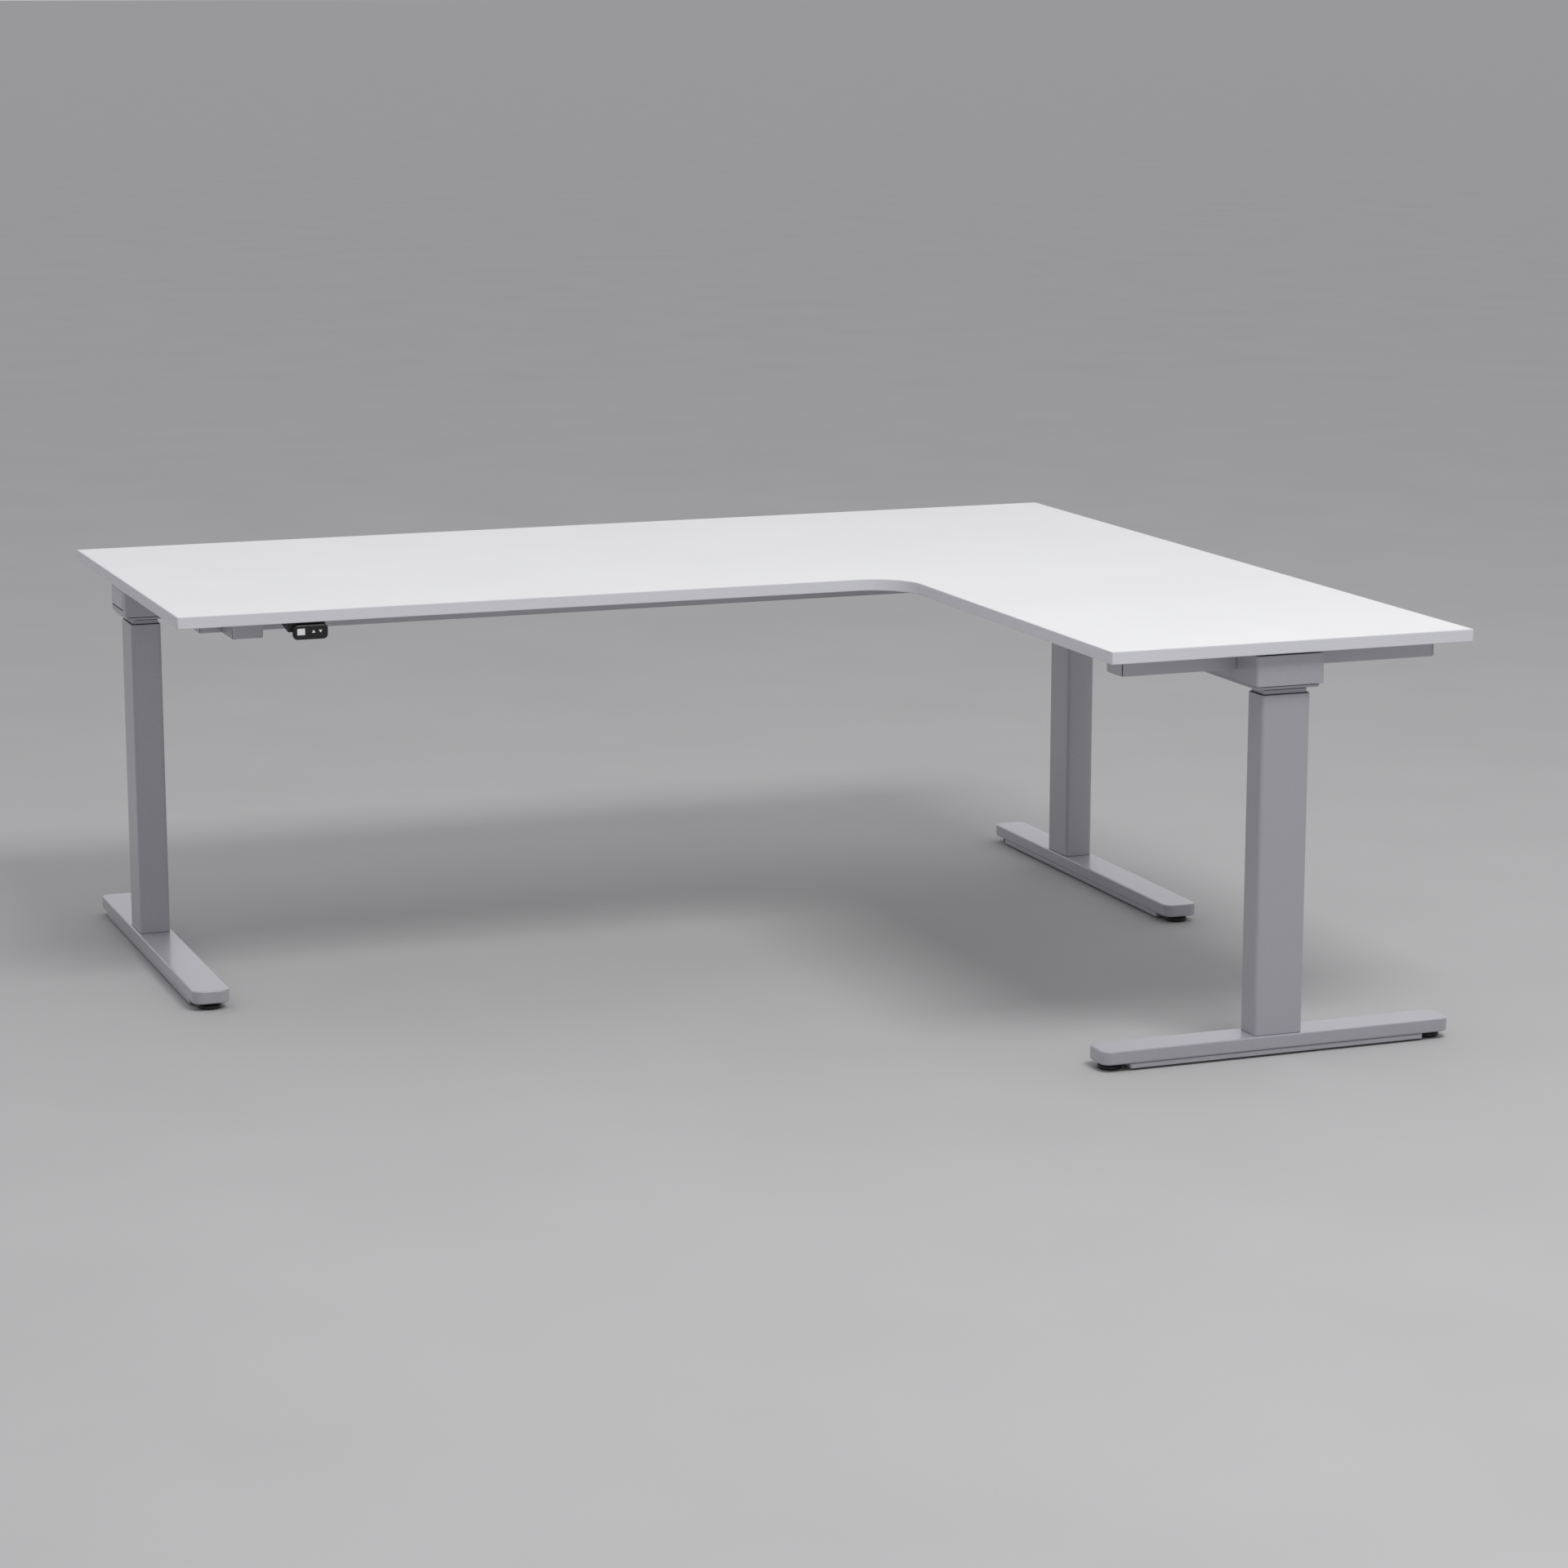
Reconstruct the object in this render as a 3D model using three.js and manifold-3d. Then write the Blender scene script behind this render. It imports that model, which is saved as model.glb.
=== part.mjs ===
// Height-adjustable corner desk: an L-shaped top on three telescopic lifting columns.
// Millimetres, +Z up, +X to the user's right, -Y towards the user. The origin is on the floor, under the
// centre of the top's 1800 x 1600 rectangle. The desk is modelled at its lowest height.
import * as THREE from "three";
import { mergeVertices } from "three/addons/utils/BufferGeometryUtils.js";
import Module from "manifold-3d";

const wasm = await Module();
wasm.setup();

// ---------------------------------------------------------------- driving dimensions

const HEIGHT = 640; // floor to the top's surface at the lowest setting
const GAP = 0.3; // clearance between pieces that touch
const TOP = { width: 1800, depth: 1600, wingDepth: 800, wingWidth: 600, thickness: 19, innerRadius: 80 };
const BAND = 2; // thickness of the edge band
const EDGE_INSET = 50; // column centre line to the nearest edge of the top

const TUBE = { long: 80, short: 50, radius: 6, wall: 2, bottom: 32.5, top: 555 };
const STAGE_CLEARANCE = 0.2; // between a tube and the sleeve that guides it
const SLEEVE = { wall: 1.5, length: 45 };
const MIDDLE = { wall: 1.8, bottom: 38, top: 562 };
const INNER = { wall: 1.6, bottom: 60, top: 574.5 };

const FOOT = {
  width: 60,
  longLength: 740,
  shortLength: 588,
  bottom: 11.5,
  cornerRadius: 16,
  edge: 2,
  wall: 3.5,
};
const FOOT_BACK_INSET = 4; // from the back edge of the top to a long foot's back end
const FOOT_FRONT_SHIFT = 94; // a long foot's centre lies this far in front of its column
const RAIL = { width: 56, wall: 2, bottom: 3.5, endInset: 46 }; // base rail under a foot
const GLIDE = { radius: 18, height: 8, stemRadius: 4, endInset: 24 };

const HOUSING = { outer: -37, inner: 193, halfWidth: 56.5, bottom: 570.5, top: 616.5, wall: 2, radius: 6 };
const COVER = { inset: 4, bottom: 565 };
const GEARBOX = { halfWidth: 24, halfDepth: 27 };
const MOTOR = { radius: 17.5, start: 20, end: 150, height: 594 }; // start and end from the column
const LEAD_HOLE = { radius: 5, offset: 42, height: 600 };
const ARM = { width: 50, wall: 2, bottom: 587, top: 619, lip: 8 };
const LONG_ARM = { outer: 797, front: 81, back: 760 };
const RETURN_ARM = { left: 353, right: 879, offset: 30 }; // offset from the column to the arm
const FRONT_RAIL = { halfLength: 833, front: 152, depth: 40, bottom: 588, top: 612, wall: 2 };
const BEAM = { width: 40, bottom: 588, top: 613, wall: 2 };
const CONTROL_BOX = { left: -560, right: -300, front: 600, back: 690, bottom: 583, top: 618 };
const INLET = { left: 30, width: 26, depth: 14, bottom: 8, height: 18 }; // from the box's corner
const HANDSET = { left: -725, right: -665, front: 10, back: 75, frontHeight: 604, backHeight: 614.5 };
const PADDLE = { x: -691, width: 55.5, thickness: 8, bottom: 593.8, top: 617.5, radius: 6 };
const PADDLE_ARM = { halfWidth: 20, reach: 4, bottom: 606, top: 614 }; // reach is past the pin
const POCKET = { halfWidth: 21, depth: 22, cap: 3 }; // in the handset's body, around the arm
const PIVOT = { y: 20, z: 610, radius: 1.5, clearance: 0.1 }; // the paddle's pin, along X
const LEAD_RADIUS = 2.25;
const LEAD_HEIGHT = 617; // a lead's centre line where it is clipped under the top

const footTop = TUBE.bottom;
const topUnderside = HEIGHT - TOP.thickness;
const left = -TOP.width / 2;
const right = TOP.width / 2;
const back = TOP.depth / 2;
const front = -TOP.depth / 2;
const wingFront = back - TOP.wingDepth; // front edge of the long wing
const wingInner = right - TOP.wingWidth; // inner edge of the return wing
const longFootCentre = back - FOOT_BACK_INSET - FOOT.longLength / 2;
const columnY = longFootCentre + FOOT_FRONT_SHIFT;

// The three legs. Each is built in a frame of its own, with +X from the column towards the middle of the
// desk and the foot along Y, then turned about Z and moved to its place. glides names each glide and gives
// the end of the foot, along that Y, that it stands under.
const LEGS = [
  {
    name: "left",
    x: left + EDGE_INSET,
    y: columnY,
    turn: 0,
    footLength: FOOT.longLength,
    footCentre: -FOOT_FRONT_SHIFT,
    glides: { front: -1, back: 1 },
    leadSide: 1,
  },
  {
    name: "corner",
    x: right - EDGE_INSET,
    y: columnY,
    turn: Math.PI,
    footLength: FOOT.longLength,
    footCentre: FOOT_FRONT_SHIFT,
    glides: { front: 1, back: -1 },
    leadSide: -1,
  },
  {
    name: "return",
    x: (wingInner + right) / 2,
    y: front + EDGE_INSET,
    turn: Math.PI / 2,
    footLength: FOOT.shortLength,
    footCentre: 0,
    glides: { outer: -1, inner: 1 },
    leadSide: 1,
  },
];
const returnLeg = LEGS[2];

// ---------------------------------------------------------------- materials

const paint = (color, roughness, metalness) =>
  new THREE.MeshStandardMaterial({ color, roughness, metalness });
const MATERIALS = {
  board: paint("#e6e6e6", 0.45, 0),
  edge: paint("#cfced4", 0.5, 0),
  silver: paint("#a3a2aa", 0.42, 0.55),
  steel: paint("#8d8f92", 0.35, 0.9),
  plastic: paint("#1c1c1e", 0.5, 0),
  nylon: paint("#5d5e63", 0.6, 0),
  rubber: paint("#18181a", 0.8, 0),
};

// ---------------------------------------------------------------- geometry helpers

// A closed geometry as a solid for cutting and joining.
function solid(geometry) {
  const plain = geometry.index ? geometry.toNonIndexed() : geometry.clone();
  const bare = new THREE.BufferGeometry().setAttribute("position", plain.getAttribute("position"));
  const merged = mergeVertices(bare, 1e-4);
  const mesh = new wasm.Mesh({
    numProp: 3,
    vertProperties: merged.attributes.position.array,
    triVerts: new Uint32Array(merged.index.array),
  });
  return new wasm.Manifold(mesh);
}

function geometryOf(body) {
  const mesh = body.getMesh();
  const geometry = new THREE.BufferGeometry();
  geometry.setAttribute("position", new THREE.BufferAttribute(mesh.vertProperties, 3));
  geometry.setIndex(new THREE.BufferAttribute(mesh.triVerts, 1));
  geometry.computeVertexNormals();
  return geometry;
}

const cut = (geometry, ...tools) =>
  geometryOf(tools.reduce((body, tool) => body.subtract(solid(tool)), solid(geometry)));
const join = (geometry, ...others) =>
  geometryOf(others.reduce((body, other) => body.add(solid(other)), solid(geometry)));

function box(x0, x1, y0, y1, z0, z1) {
  const geometry = new THREE.BoxGeometry(x1 - x0, y1 - y0, z1 - z0);
  return geometry.translate((x0 + x1) / 2, (y0 + y1) / 2, (z0 + z1) / 2);
}

// A cylinder standing on z0, and one lying along X.
function cylinder(radius, z0, z1, x = 0, y = 0, sides = 16) {
  const geometry = new THREE.CylinderGeometry(radius, radius, z1 - z0, sides);
  return geometry.rotateX(Math.PI / 2).translate(x, y, (z0 + z1) / 2);
}

function cylinderAlongX(radius, x0, x1, y, z, sides = 16) {
  const geometry = new THREE.CylinderGeometry(radius, radius, x1 - x0, sides);
  return geometry.rotateZ(Math.PI / 2).translate((x0 + x1) / 2, y, z);
}

// Outline of a rectangle with rounded corners, centred on the origin.
function roundedRectangle(width, depth, radius) {
  const x = width / 2;
  const y = depth / 2;
  const shape = new THREE.Shape();
  shape.moveTo(-x + radius, -y);
  shape.lineTo(x - radius, -y);
  shape.absarc(x - radius, -y + radius, radius, -Math.PI / 2, 0, false);
  shape.lineTo(x, y - radius);
  shape.absarc(x - radius, y - radius, radius, 0, Math.PI / 2, false);
  shape.lineTo(-x + radius, y);
  shape.absarc(-x + radius, y - radius, radius, Math.PI / 2, Math.PI, false);
  shape.lineTo(-x, -y + radius);
  shape.absarc(-x + radius, -y + radius, radius, Math.PI, Math.PI * 1.5, false);
  return shape;
}

// An outline raised from z0 to z1.
function prism(shape, z0, z1, curveSegments = 2) {
  const geometry = new THREE.ExtrudeGeometry(shape, { depth: z1 - z0, bevelEnabled: false, curveSegments });
  return geometry.translate(0, 0, z0);
}

// An upright rectangular tube with rounded corners.
function uprightTube(width, depth, radius, wall, z0, z1) {
  const shape = roundedRectangle(width, depth, radius);
  shape.holes.push(roundedRectangle(width - 2 * wall, depth - 2 * wall, Math.max(radius - wall, 1)));
  return prism(shape, z0, z1);
}

// A profile in Y and Z carried along X from x0 to x1.
function alongX(shape, x0, x1, curveSegments = 3) {
  const geometry = new THREE.ExtrudeGeometry(shape, { depth: x1 - x0, bevelEnabled: false, curveSegments });
  const turn = new THREE.Matrix4().set(0, 0, 1, x0, 1, 0, 0, 0, 0, 1, 0, 0, 0, 0, 0, 1);
  return geometry.applyMatrix4(turn);
}

// A box with walls all round, open at the bottom.
function bottomlessBox(x0, x1, y0, y1, z0, z1, wall) {
  return cut(box(x0, x1, y0, y1, z0, z1), box(x0 + wall, x1 - wall, y0 + wall, y1 - wall, z0 - 1, z1 - wall));
}

function piece(name, geometry, material) {
  const mesh = new THREE.Mesh(geometry, material);
  mesh.name = name;
  return mesh;
}

// ---------------------------------------------------------------- top

// The L-shaped outline, moved inwards by inset.
function topOutline(inset) {
  const radius = TOP.innerRadius + inset;
  const cornerX = wingInner + inset;
  const cornerY = wingFront + inset;
  const shape = new THREE.Shape();
  shape.moveTo(left + inset, cornerY);
  shape.lineTo(cornerX - radius, cornerY);
  shape.absarc(cornerX - radius, cornerY - radius, radius, Math.PI / 2, 0, true);
  shape.lineTo(cornerX, front + inset);
  shape.lineTo(right - inset, front + inset);
  shape.lineTo(right - inset, back - inset);
  shape.lineTo(left + inset, back - inset);
  shape.closePath();
  return shape;
}

function worktop() {
  return prism(topOutline(BAND + 0.1), topUnderside, HEIGHT, 6);
}

function edgeBand() {
  const shape = topOutline(0);
  shape.holes.push(topOutline(BAND));
  return prism(shape, topUnderside, HEIGHT, 6);
}

// ---------------------------------------------------------------- legs

const glideOffset = (leg) => leg.footLength / 2 - GLIDE.endInset;

// A pressed-steel foot, open underneath, with a threaded boss for each glide.
function footBar(leg) {
  const halfLength = leg.footLength / 2;
  const straight = footTop - FOOT.bottom;
  const outline = roundedRectangle(
    FOOT.width - 2 * FOOT.edge,
    leg.footLength - 2 * FOOT.edge,
    FOOT.cornerRadius - FOOT.edge,
  );
  const cushion = new THREE.ExtrudeGeometry(outline, {
    depth: straight - FOOT.edge,
    bevelThickness: FOOT.edge,
    bevelSize: FOOT.edge,
    bevelSegments: 2,
    curveSegments: 3,
  }).translate(0, 0, FOOT.bottom);
  const below = box(-FOOT.width, FOOT.width, -halfLength - 1, halfLength + 1, FOOT.bottom - 10, FOOT.bottom);
  const hollow = prism(
    roundedRectangle(
      FOOT.width - 2 * FOOT.wall,
      leg.footLength - 2 * FOOT.wall,
      FOOT.cornerRadius - FOOT.wall,
    ),
    FOOT.bottom - 1,
    footTop - FOOT.wall,
    3,
  );
  const ends = [-glideOffset(leg), glideOffset(leg)];
  const bosses = ends.map((y) => cylinder(9, FOOT.bottom, footTop - 1, 0, y));
  const holes = ends.map((y) => cylinder(GLIDE.stemRadius + GAP, FOOT.bottom - 1, footTop - 5, 0, y));
  const bar = cut(join(cut(cushion, below, hollow), ...bosses), ...holes);
  return bar.translate(0, leg.footCentre, 0);
}

// The recessed rail that closes the foot from below, a shallow channel.
function footRail(leg) {
  const y = leg.footLength / 2 - RAIL.endInset;
  const half = RAIL.width / 2;
  const top = FOOT.bottom - GAP;
  const channel = cut(
    box(-half, half, -y, y, RAIL.bottom, top),
    box(-half + RAIL.wall, half - RAIL.wall, -y + RAIL.wall, y - RAIL.wall, RAIL.bottom + RAIL.wall, top + 1),
  );
  return channel.translate(0, leg.footCentre, 0);
}

// A screw-in glide: a domed disc on a threaded stem.
function glide(leg, end) {
  const profile = [
    [0, 0],
    [GLIDE.radius - 4, 0],
    [GLIDE.radius, 3],
    [GLIDE.radius, 6],
    [GLIDE.radius - 5, GLIDE.height],
    [GLIDE.stemRadius, GLIDE.height],
    [GLIDE.stemRadius, footTop - 7],
    [0, footTop - 7],
  ].map(([r, z]) => new THREE.Vector2(r, z));
  const disc = new THREE.LatheGeometry(profile, 16).rotateX(Math.PI / 2);
  return disc.translate(0, leg.footCentre + end * glideOffset(leg), 0);
}

// Sizes of the nested stages, from the outer tube inwards: [short side, long side, corner radius].
const shrink = ([short, long, radius], by) => [short - 2 * by, long - 2 * by, Math.max(radius - by, 1.5)];
const outerSize = [TUBE.short, TUBE.long, TUBE.radius];
const outerSleeveSize = shrink(outerSize, TUBE.wall + STAGE_CLEARANCE);
const middleSize = shrink(outerSleeveSize, SLEEVE.wall + STAGE_CLEARANCE);
const middleSleeveSize = shrink(middleSize, MIDDLE.wall + STAGE_CLEARANCE);
const innerSize = shrink(middleSleeveSize, SLEEVE.wall + STAGE_CLEARANCE);

const outerTube = () => uprightTube(...outerSize, TUBE.wall, TUBE.bottom + GAP, TUBE.top);
const outerSleeve = () => uprightTube(...outerSleeveSize, SLEEVE.wall, TUBE.top - SLEEVE.length, TUBE.top);
const middleTube = () => uprightTube(...middleSize, MIDDLE.wall, MIDDLE.bottom, MIDDLE.top);
const middleSleeve = () =>
  uprightTube(...middleSleeveSize, SLEEVE.wall, MIDDLE.top - SLEEVE.length, MIDDLE.top);
const innerTube = () => uprightTube(...innerSize, INNER.wall, INNER.bottom, INNER.top);

// A turned ring or tube from [radius, height] corners.
function turned(corners) {
  const closed = [...corners, corners[0]].map(([r, z]) => new THREE.Vector2(r, z));
  return new THREE.LatheGeometry(closed, 16).rotateX(Math.PI / 2);
}

// The fixed post in the foot with the lift nut at its head.
function liftNut() {
  return turned([
    [11.5, footTop + GAP],
    [13.5, footTop + GAP],
    [13.5, 400],
    [15, 400],
    [15, 425],
    [10.3, 425],
    [10.3, 395],
    [11.5, 395],
  ]);
}

// The middle stage's hollow spindle, which climbs through the lift nut.
function hollowSpindle() {
  return turned([
    [6.5, 42],
    [10, 42],
    [10, 556],
    [6.5, 556],
  ]);
}

const driveSpindle = () => cylinder(6, INNER.bottom, INNER.top + GAP / 2);

// The gear motor: a worm gearbox over the column and a round motor lying beside it.
function gearMotor() {
  const { halfWidth: x, halfDepth: y } = GEARBOX;
  const gearbox = box(-x, x, -y, y, INNER.top + 2 * GAP, HOUSING.top - 3);
  const motor = cylinderAlongX(MOTOR.radius, MOTOR.start, MOTOR.end, 0, MOTOR.height);
  return join(gearbox, motor);
}

// The casing over the gear motor, open underneath, with a hole for the motor lead in its inner end.
function housing(leg) {
  const centre = (HOUSING.outer + HOUSING.inner) / 2;
  const length = HOUSING.inner - HOUSING.outer;
  const width = 2 * HOUSING.halfWidth;
  const shell = prism(roundedRectangle(length, width, HOUSING.radius), HOUSING.bottom, HOUSING.top);
  const hollow = prism(
    roundedRectangle(length - 2 * HOUSING.wall, width - 2 * HOUSING.wall, HOUSING.radius - HOUSING.wall),
    HOUSING.bottom - 1,
    HOUSING.top - HOUSING.wall,
  );
  const leadHole = cylinderAlongX(
    LEAD_HOLE.radius,
    HOUSING.inner - 5,
    HOUSING.inner + 5,
    leg.leadSide * LEAD_HOLE.offset,
    LEAD_HOLE.height,
  );
  return cut(shell.translate(centre, 0, 0), hollow.translate(centre, 0, 0), leadHole);
}

// The plate that closes the housing, with an opening for the inner tube.
function housingCover() {
  const centre = (HOUSING.outer + HOUSING.inner) / 2;
  const plate = prism(
    roundedRectangle(
      HOUSING.inner - HOUSING.outer - 2 * COVER.inset,
      2 * (HOUSING.halfWidth - COVER.inset),
      HOUSING.radius,
    ),
    COVER.bottom,
    HOUSING.bottom - GAP,
  ).translate(centre, 0, 0);
  const [short, long, radius] = shrink(innerSize, -0.6);
  const opening = prism(roundedRectangle(short, long, radius), COVER.bottom - 1, HOUSING.bottom + 1);
  return cut(plate, opening);
}

function leg(spec) {
  const { silver, steel, plastic, nylon } = MATERIALS;
  const group = new THREE.Group();
  const add = (name, geometry, material) => group.add(piece(`${name}_${spec.name}`, geometry, material));
  add("foot", footBar(spec), silver);
  add("foot_rail", footRail(spec), silver);
  for (const [end, side] of Object.entries(spec.glides)) add(`glide_${end}`, glide(spec, side), plastic);
  add("outer_tube", outerTube(), silver);
  add("outer_sleeve", outerSleeve(), nylon);
  add("lift_nut", liftNut(), steel);
  add("middle_tube", middleTube(), silver);
  add("middle_sleeve", middleSleeve(), nylon);
  add("hollow_spindle", hollowSpindle(), steel);
  add("inner_tube", innerTube(), silver);
  add("drive_spindle", driveSpindle(), steel);
  add("gear_motor", gearMotor(), steel);
  add("motor_housing", housing(spec), silver);
  add("housing_cover", housingCover(), silver);
  group.position.set(spec.x, spec.y, 0);
  group.rotation.z = spec.turn;
  return group;
}

// ---------------------------------------------------------------- under-frame

// A support arm: a closed-ended channel, open at the bottom between two lips, notched over what it crosses.
function supportArm(x0, x1, y0, y1, ...notches) {
  const { wall, lip, bottom, top } = ARM;
  const alongY = y1 - y0 > x1 - x0;
  const inner = box(x0 + wall, x1 - wall, y0 + wall, y1 - wall, bottom + wall, top - wall);
  const slot = alongY
    ? box(x0 + lip, x1 - lip, y0 + wall, y1 - wall, bottom - 1, bottom + wall + 1)
    : box(x0 + wall, x1 - wall, y0 + lip, y1 - lip, bottom - 1, bottom + wall + 1);
  return cut(box(x0, x1, y0, y1, bottom, top), inner, slot, ...notches);
}

function longArm(leg) {
  const outer = Math.sign(leg.x) * LONG_ARM.outer;
  const inner = Math.sign(leg.x) * (LONG_ARM.outer - ARM.width);
  const x0 = Math.min(outer, inner);
  const x1 = Math.max(outer, inner);
  const reach = HOUSING.halfWidth + GAP;
  const overHousing = box(x0 - 1, x1 + 1, leg.y - reach, leg.y + reach, ARM.bottom - 1, HOUSING.top + GAP);
  const overRail = box(
    x0 - 1,
    x1 + 1,
    FRONT_RAIL.front - GAP,
    FRONT_RAIL.front + FRONT_RAIL.depth + GAP,
    ARM.bottom - 1,
    FRONT_RAIL.top + GAP,
  );
  return supportArm(x0, x1, LONG_ARM.front, LONG_ARM.back, overHousing, overRail);
}

function returnArm() {
  const y0 = returnLeg.y + RETURN_ARM.offset;
  const y1 = y0 + ARM.width;
  const x0 = returnLeg.x - HOUSING.halfWidth - GAP;
  const x1 = returnLeg.x + HOUSING.halfWidth + GAP;
  const overHousing = box(x0, x1, y0 - 1, y1 + 1, ARM.bottom - 1, HOUSING.top + GAP);
  return supportArm(RETURN_ARM.left, RETURN_ARM.right, y0, y1, overHousing);
}

// The rectangular tube that passes through the two long arms near their front ends.
function frontRail() {
  const { halfLength, front: y0, depth, bottom, top, wall } = FRONT_RAIL;
  const y1 = y0 + depth;
  return cut(
    box(-halfLength, halfLength, y0, y1, bottom, top),
    box(-halfLength - 1, halfLength + 1, y0 + wall, y1 - wall, bottom + wall, top - wall),
  );
}

function beam(x0, x1, y0, y1, alongY) {
  const { bottom, top, wall } = BEAM;
  const bore = alongY
    ? box(x0 + wall, x1 - wall, y0 - 1, y1 + 1, bottom + wall, top - wall)
    : box(x0 - 1, x1 + 1, y0 + wall, y1 - wall, bottom + wall, top - wall);
  return cut(box(x0, x1, y0, y1, bottom, top), bore);
}

// The beam between the housings of the left and corner legs.
function longBeam() {
  const reach = right - EDGE_INSET - HOUSING.inner - GAP;
  return beam(-reach, reach, columnY - BEAM.width / 2, columnY + BEAM.width / 2, false);
}

// The beam from the return leg's housing to the front rail.
function returnBeam() {
  const start = returnLeg.y + HOUSING.inner + GAP;
  const end = FRONT_RAIL.front - GAP;
  return beam(returnLeg.x - BEAM.width / 2, returnLeg.x + BEAM.width / 2, start, end, true);
}

// ---------------------------------------------------------------- control box, handset and leads

// The control box, with a recessed mains inlet in its back face.
function controlBox() {
  const { left: x0, right: x1, front: y0, back: y1, bottom, top } = CONTROL_BOX;
  const body = prism(roundedRectangle(x1 - x0, y1 - y0, 8), bottom, top);
  const inletLeft = x0 + INLET.left;
  const inletBottom = bottom + INLET.bottom;
  const inlet = box(
    inletLeft,
    inletLeft + INLET.width,
    y1 - INLET.depth,
    y1 + 1,
    inletBottom,
    inletBottom + INLET.height,
  );
  return cut(body.translate((x0 + x1) / 2, (y0 + y1) / 2, 0), inlet);
}

// The handset's body under the top: a wedge with a pocket for the paddle and the paddle's pin across it.
function handsetBase() {
  const { front: y0, back: y1, frontHeight, backHeight } = HANDSET;
  const top = topUnderside - GAP;
  const side = new THREE.Shape();
  side.moveTo(y0 + 4, frontHeight);
  side.lineTo(y1 - 4, backHeight - 0.4);
  side.quadraticCurveTo(y1, backHeight, y1, backHeight + 3);
  side.lineTo(y1, top);
  side.lineTo(y0, top);
  side.lineTo(y0, frontHeight + 4);
  side.quadraticCurveTo(y0, frontHeight, y0 + 4, frontHeight);
  const wedge = alongX(side, HANDSET.left, HANDSET.right);
  const x0 = PADDLE.x - POCKET.halfWidth;
  const x1 = PADDLE.x + POCKET.halfWidth;
  const pocket = box(x0, x1, y0 - 1, y0 + POCKET.depth, frontHeight - 10, top - POCKET.cap);
  const pin = cylinderAlongX(PIVOT.radius, x0 - 1, x1 + 1, PIVOT.y, PIVOT.z);
  return join(cut(wedge, pocket), pin);
}

// The rocking paddle: a rounded front plate on a short arm that turns on the pin.
function handsetPaddle() {
  const { x, width, thickness, bottom, top, radius } = PADDLE;
  const plate = prism(roundedRectangle(width, top - bottom, radius), 0, thickness, 3);
  plate.rotateX(Math.PI / 2).translate(x, wingFront + thickness, (bottom + top) / 2);
  const arm = box(
    x - PADDLE_ARM.halfWidth,
    x + PADDLE_ARM.halfWidth,
    wingFront + thickness - 1,
    PIVOT.y + PADDLE_ARM.reach,
    PADDLE_ARM.bottom,
    PADDLE_ARM.top,
  );
  const boreRadius = PIVOT.radius + PIVOT.clearance;
  const bore = cylinderAlongX(boreRadius, x - width / 2, x + width / 2, PIVOT.y, PIVOT.z);
  return cut(join(plate, arm), bore);
}

// A round lead carried smoothly through its points.
function lead(points, steps) {
  const corners = points.map((point) => new THREE.Vector3(...point));
  const path = new THREE.CatmullRomCurve3(corners, false, "catmullrom", 0.3);
  const section = new THREE.Shape().absarc(0, 0, LEAD_RADIUS, 0, 2 * Math.PI, false);
  return new THREE.ExtrudeGeometry(section, { steps, extrudePath: path, curveSegments: 4 });
}

const boxLeft = CONTROL_BOX.left - 4 * GAP; // a lead's end face is a little tilted
const boxRight = CONTROL_BOX.right + 4 * GAP;

// Each lead is clipped against the underside of the top from one housing to the next.
const LEADS = {
  motor_lead_left: [
    [-672, 562, 600],
    [-640, 562, 602],
    [-622, 575, 612],
    [-610, 610, LEAD_HEIGHT],
    [-598, 650, LEAD_HEIGHT],
    [-584, 670, 607],
    [boxLeft, 675, 600],
  ],
  motor_lead_corner: [
    [672, 562, 600],
    [640, 562, 602],
    [616, 566, 611],
    [594, 580, LEAD_HEIGHT],
    [560, 630, LEAD_HEIGHT],
    [490, 660, LEAD_HEIGHT],
    [200, 664, LEAD_HEIGHT],
    [-100, 664, LEAD_HEIGHT],
    [-250, 664, LEAD_HEIGHT],
    [-278, 664, 609],
    [boxRight, 664, 600],
  ],
  motor_lead_return: [
    [558, -572, 600],
    [558, -540, 602],
    [558, -510, 612],
    [558, -480, LEAD_HEIGHT],
    [558, -200, LEAD_HEIGHT],
    [558, 150, LEAD_HEIGHT],
    [557, 440, LEAD_HEIGHT],
    [546, 545, LEAD_HEIGHT],
    [500, 610, LEAD_HEIGHT],
    [400, 630, LEAD_HEIGHT],
    [100, 632, LEAD_HEIGHT],
    [-240, 632, LEAD_HEIGHT],
    [-276, 630, 609],
    [boxRight, 628, 600],
  ],
  handset_lead: [
    [PADDLE.x, HANDSET.back + 2 * GAP, LEAD_HEIGHT + 1],
    [PADDLE.x, 125, LEAD_HEIGHT],
    [-690, 170, LEAD_HEIGHT],
    [-662, 330, LEAD_HEIGHT],
    [-625, 470, LEAD_HEIGHT],
    [-596, 565, LEAD_HEIGHT],
    [-588, 598, 616],
    [-580, 618, 607],
    [boxLeft, 622, 600],
  ],
};
const leadSteps = { motor_lead_left: 18, motor_lead_corner: 40, motor_lead_return: 54, handset_lead: 24 };

// ---------------------------------------------------------------- assembly

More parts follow.
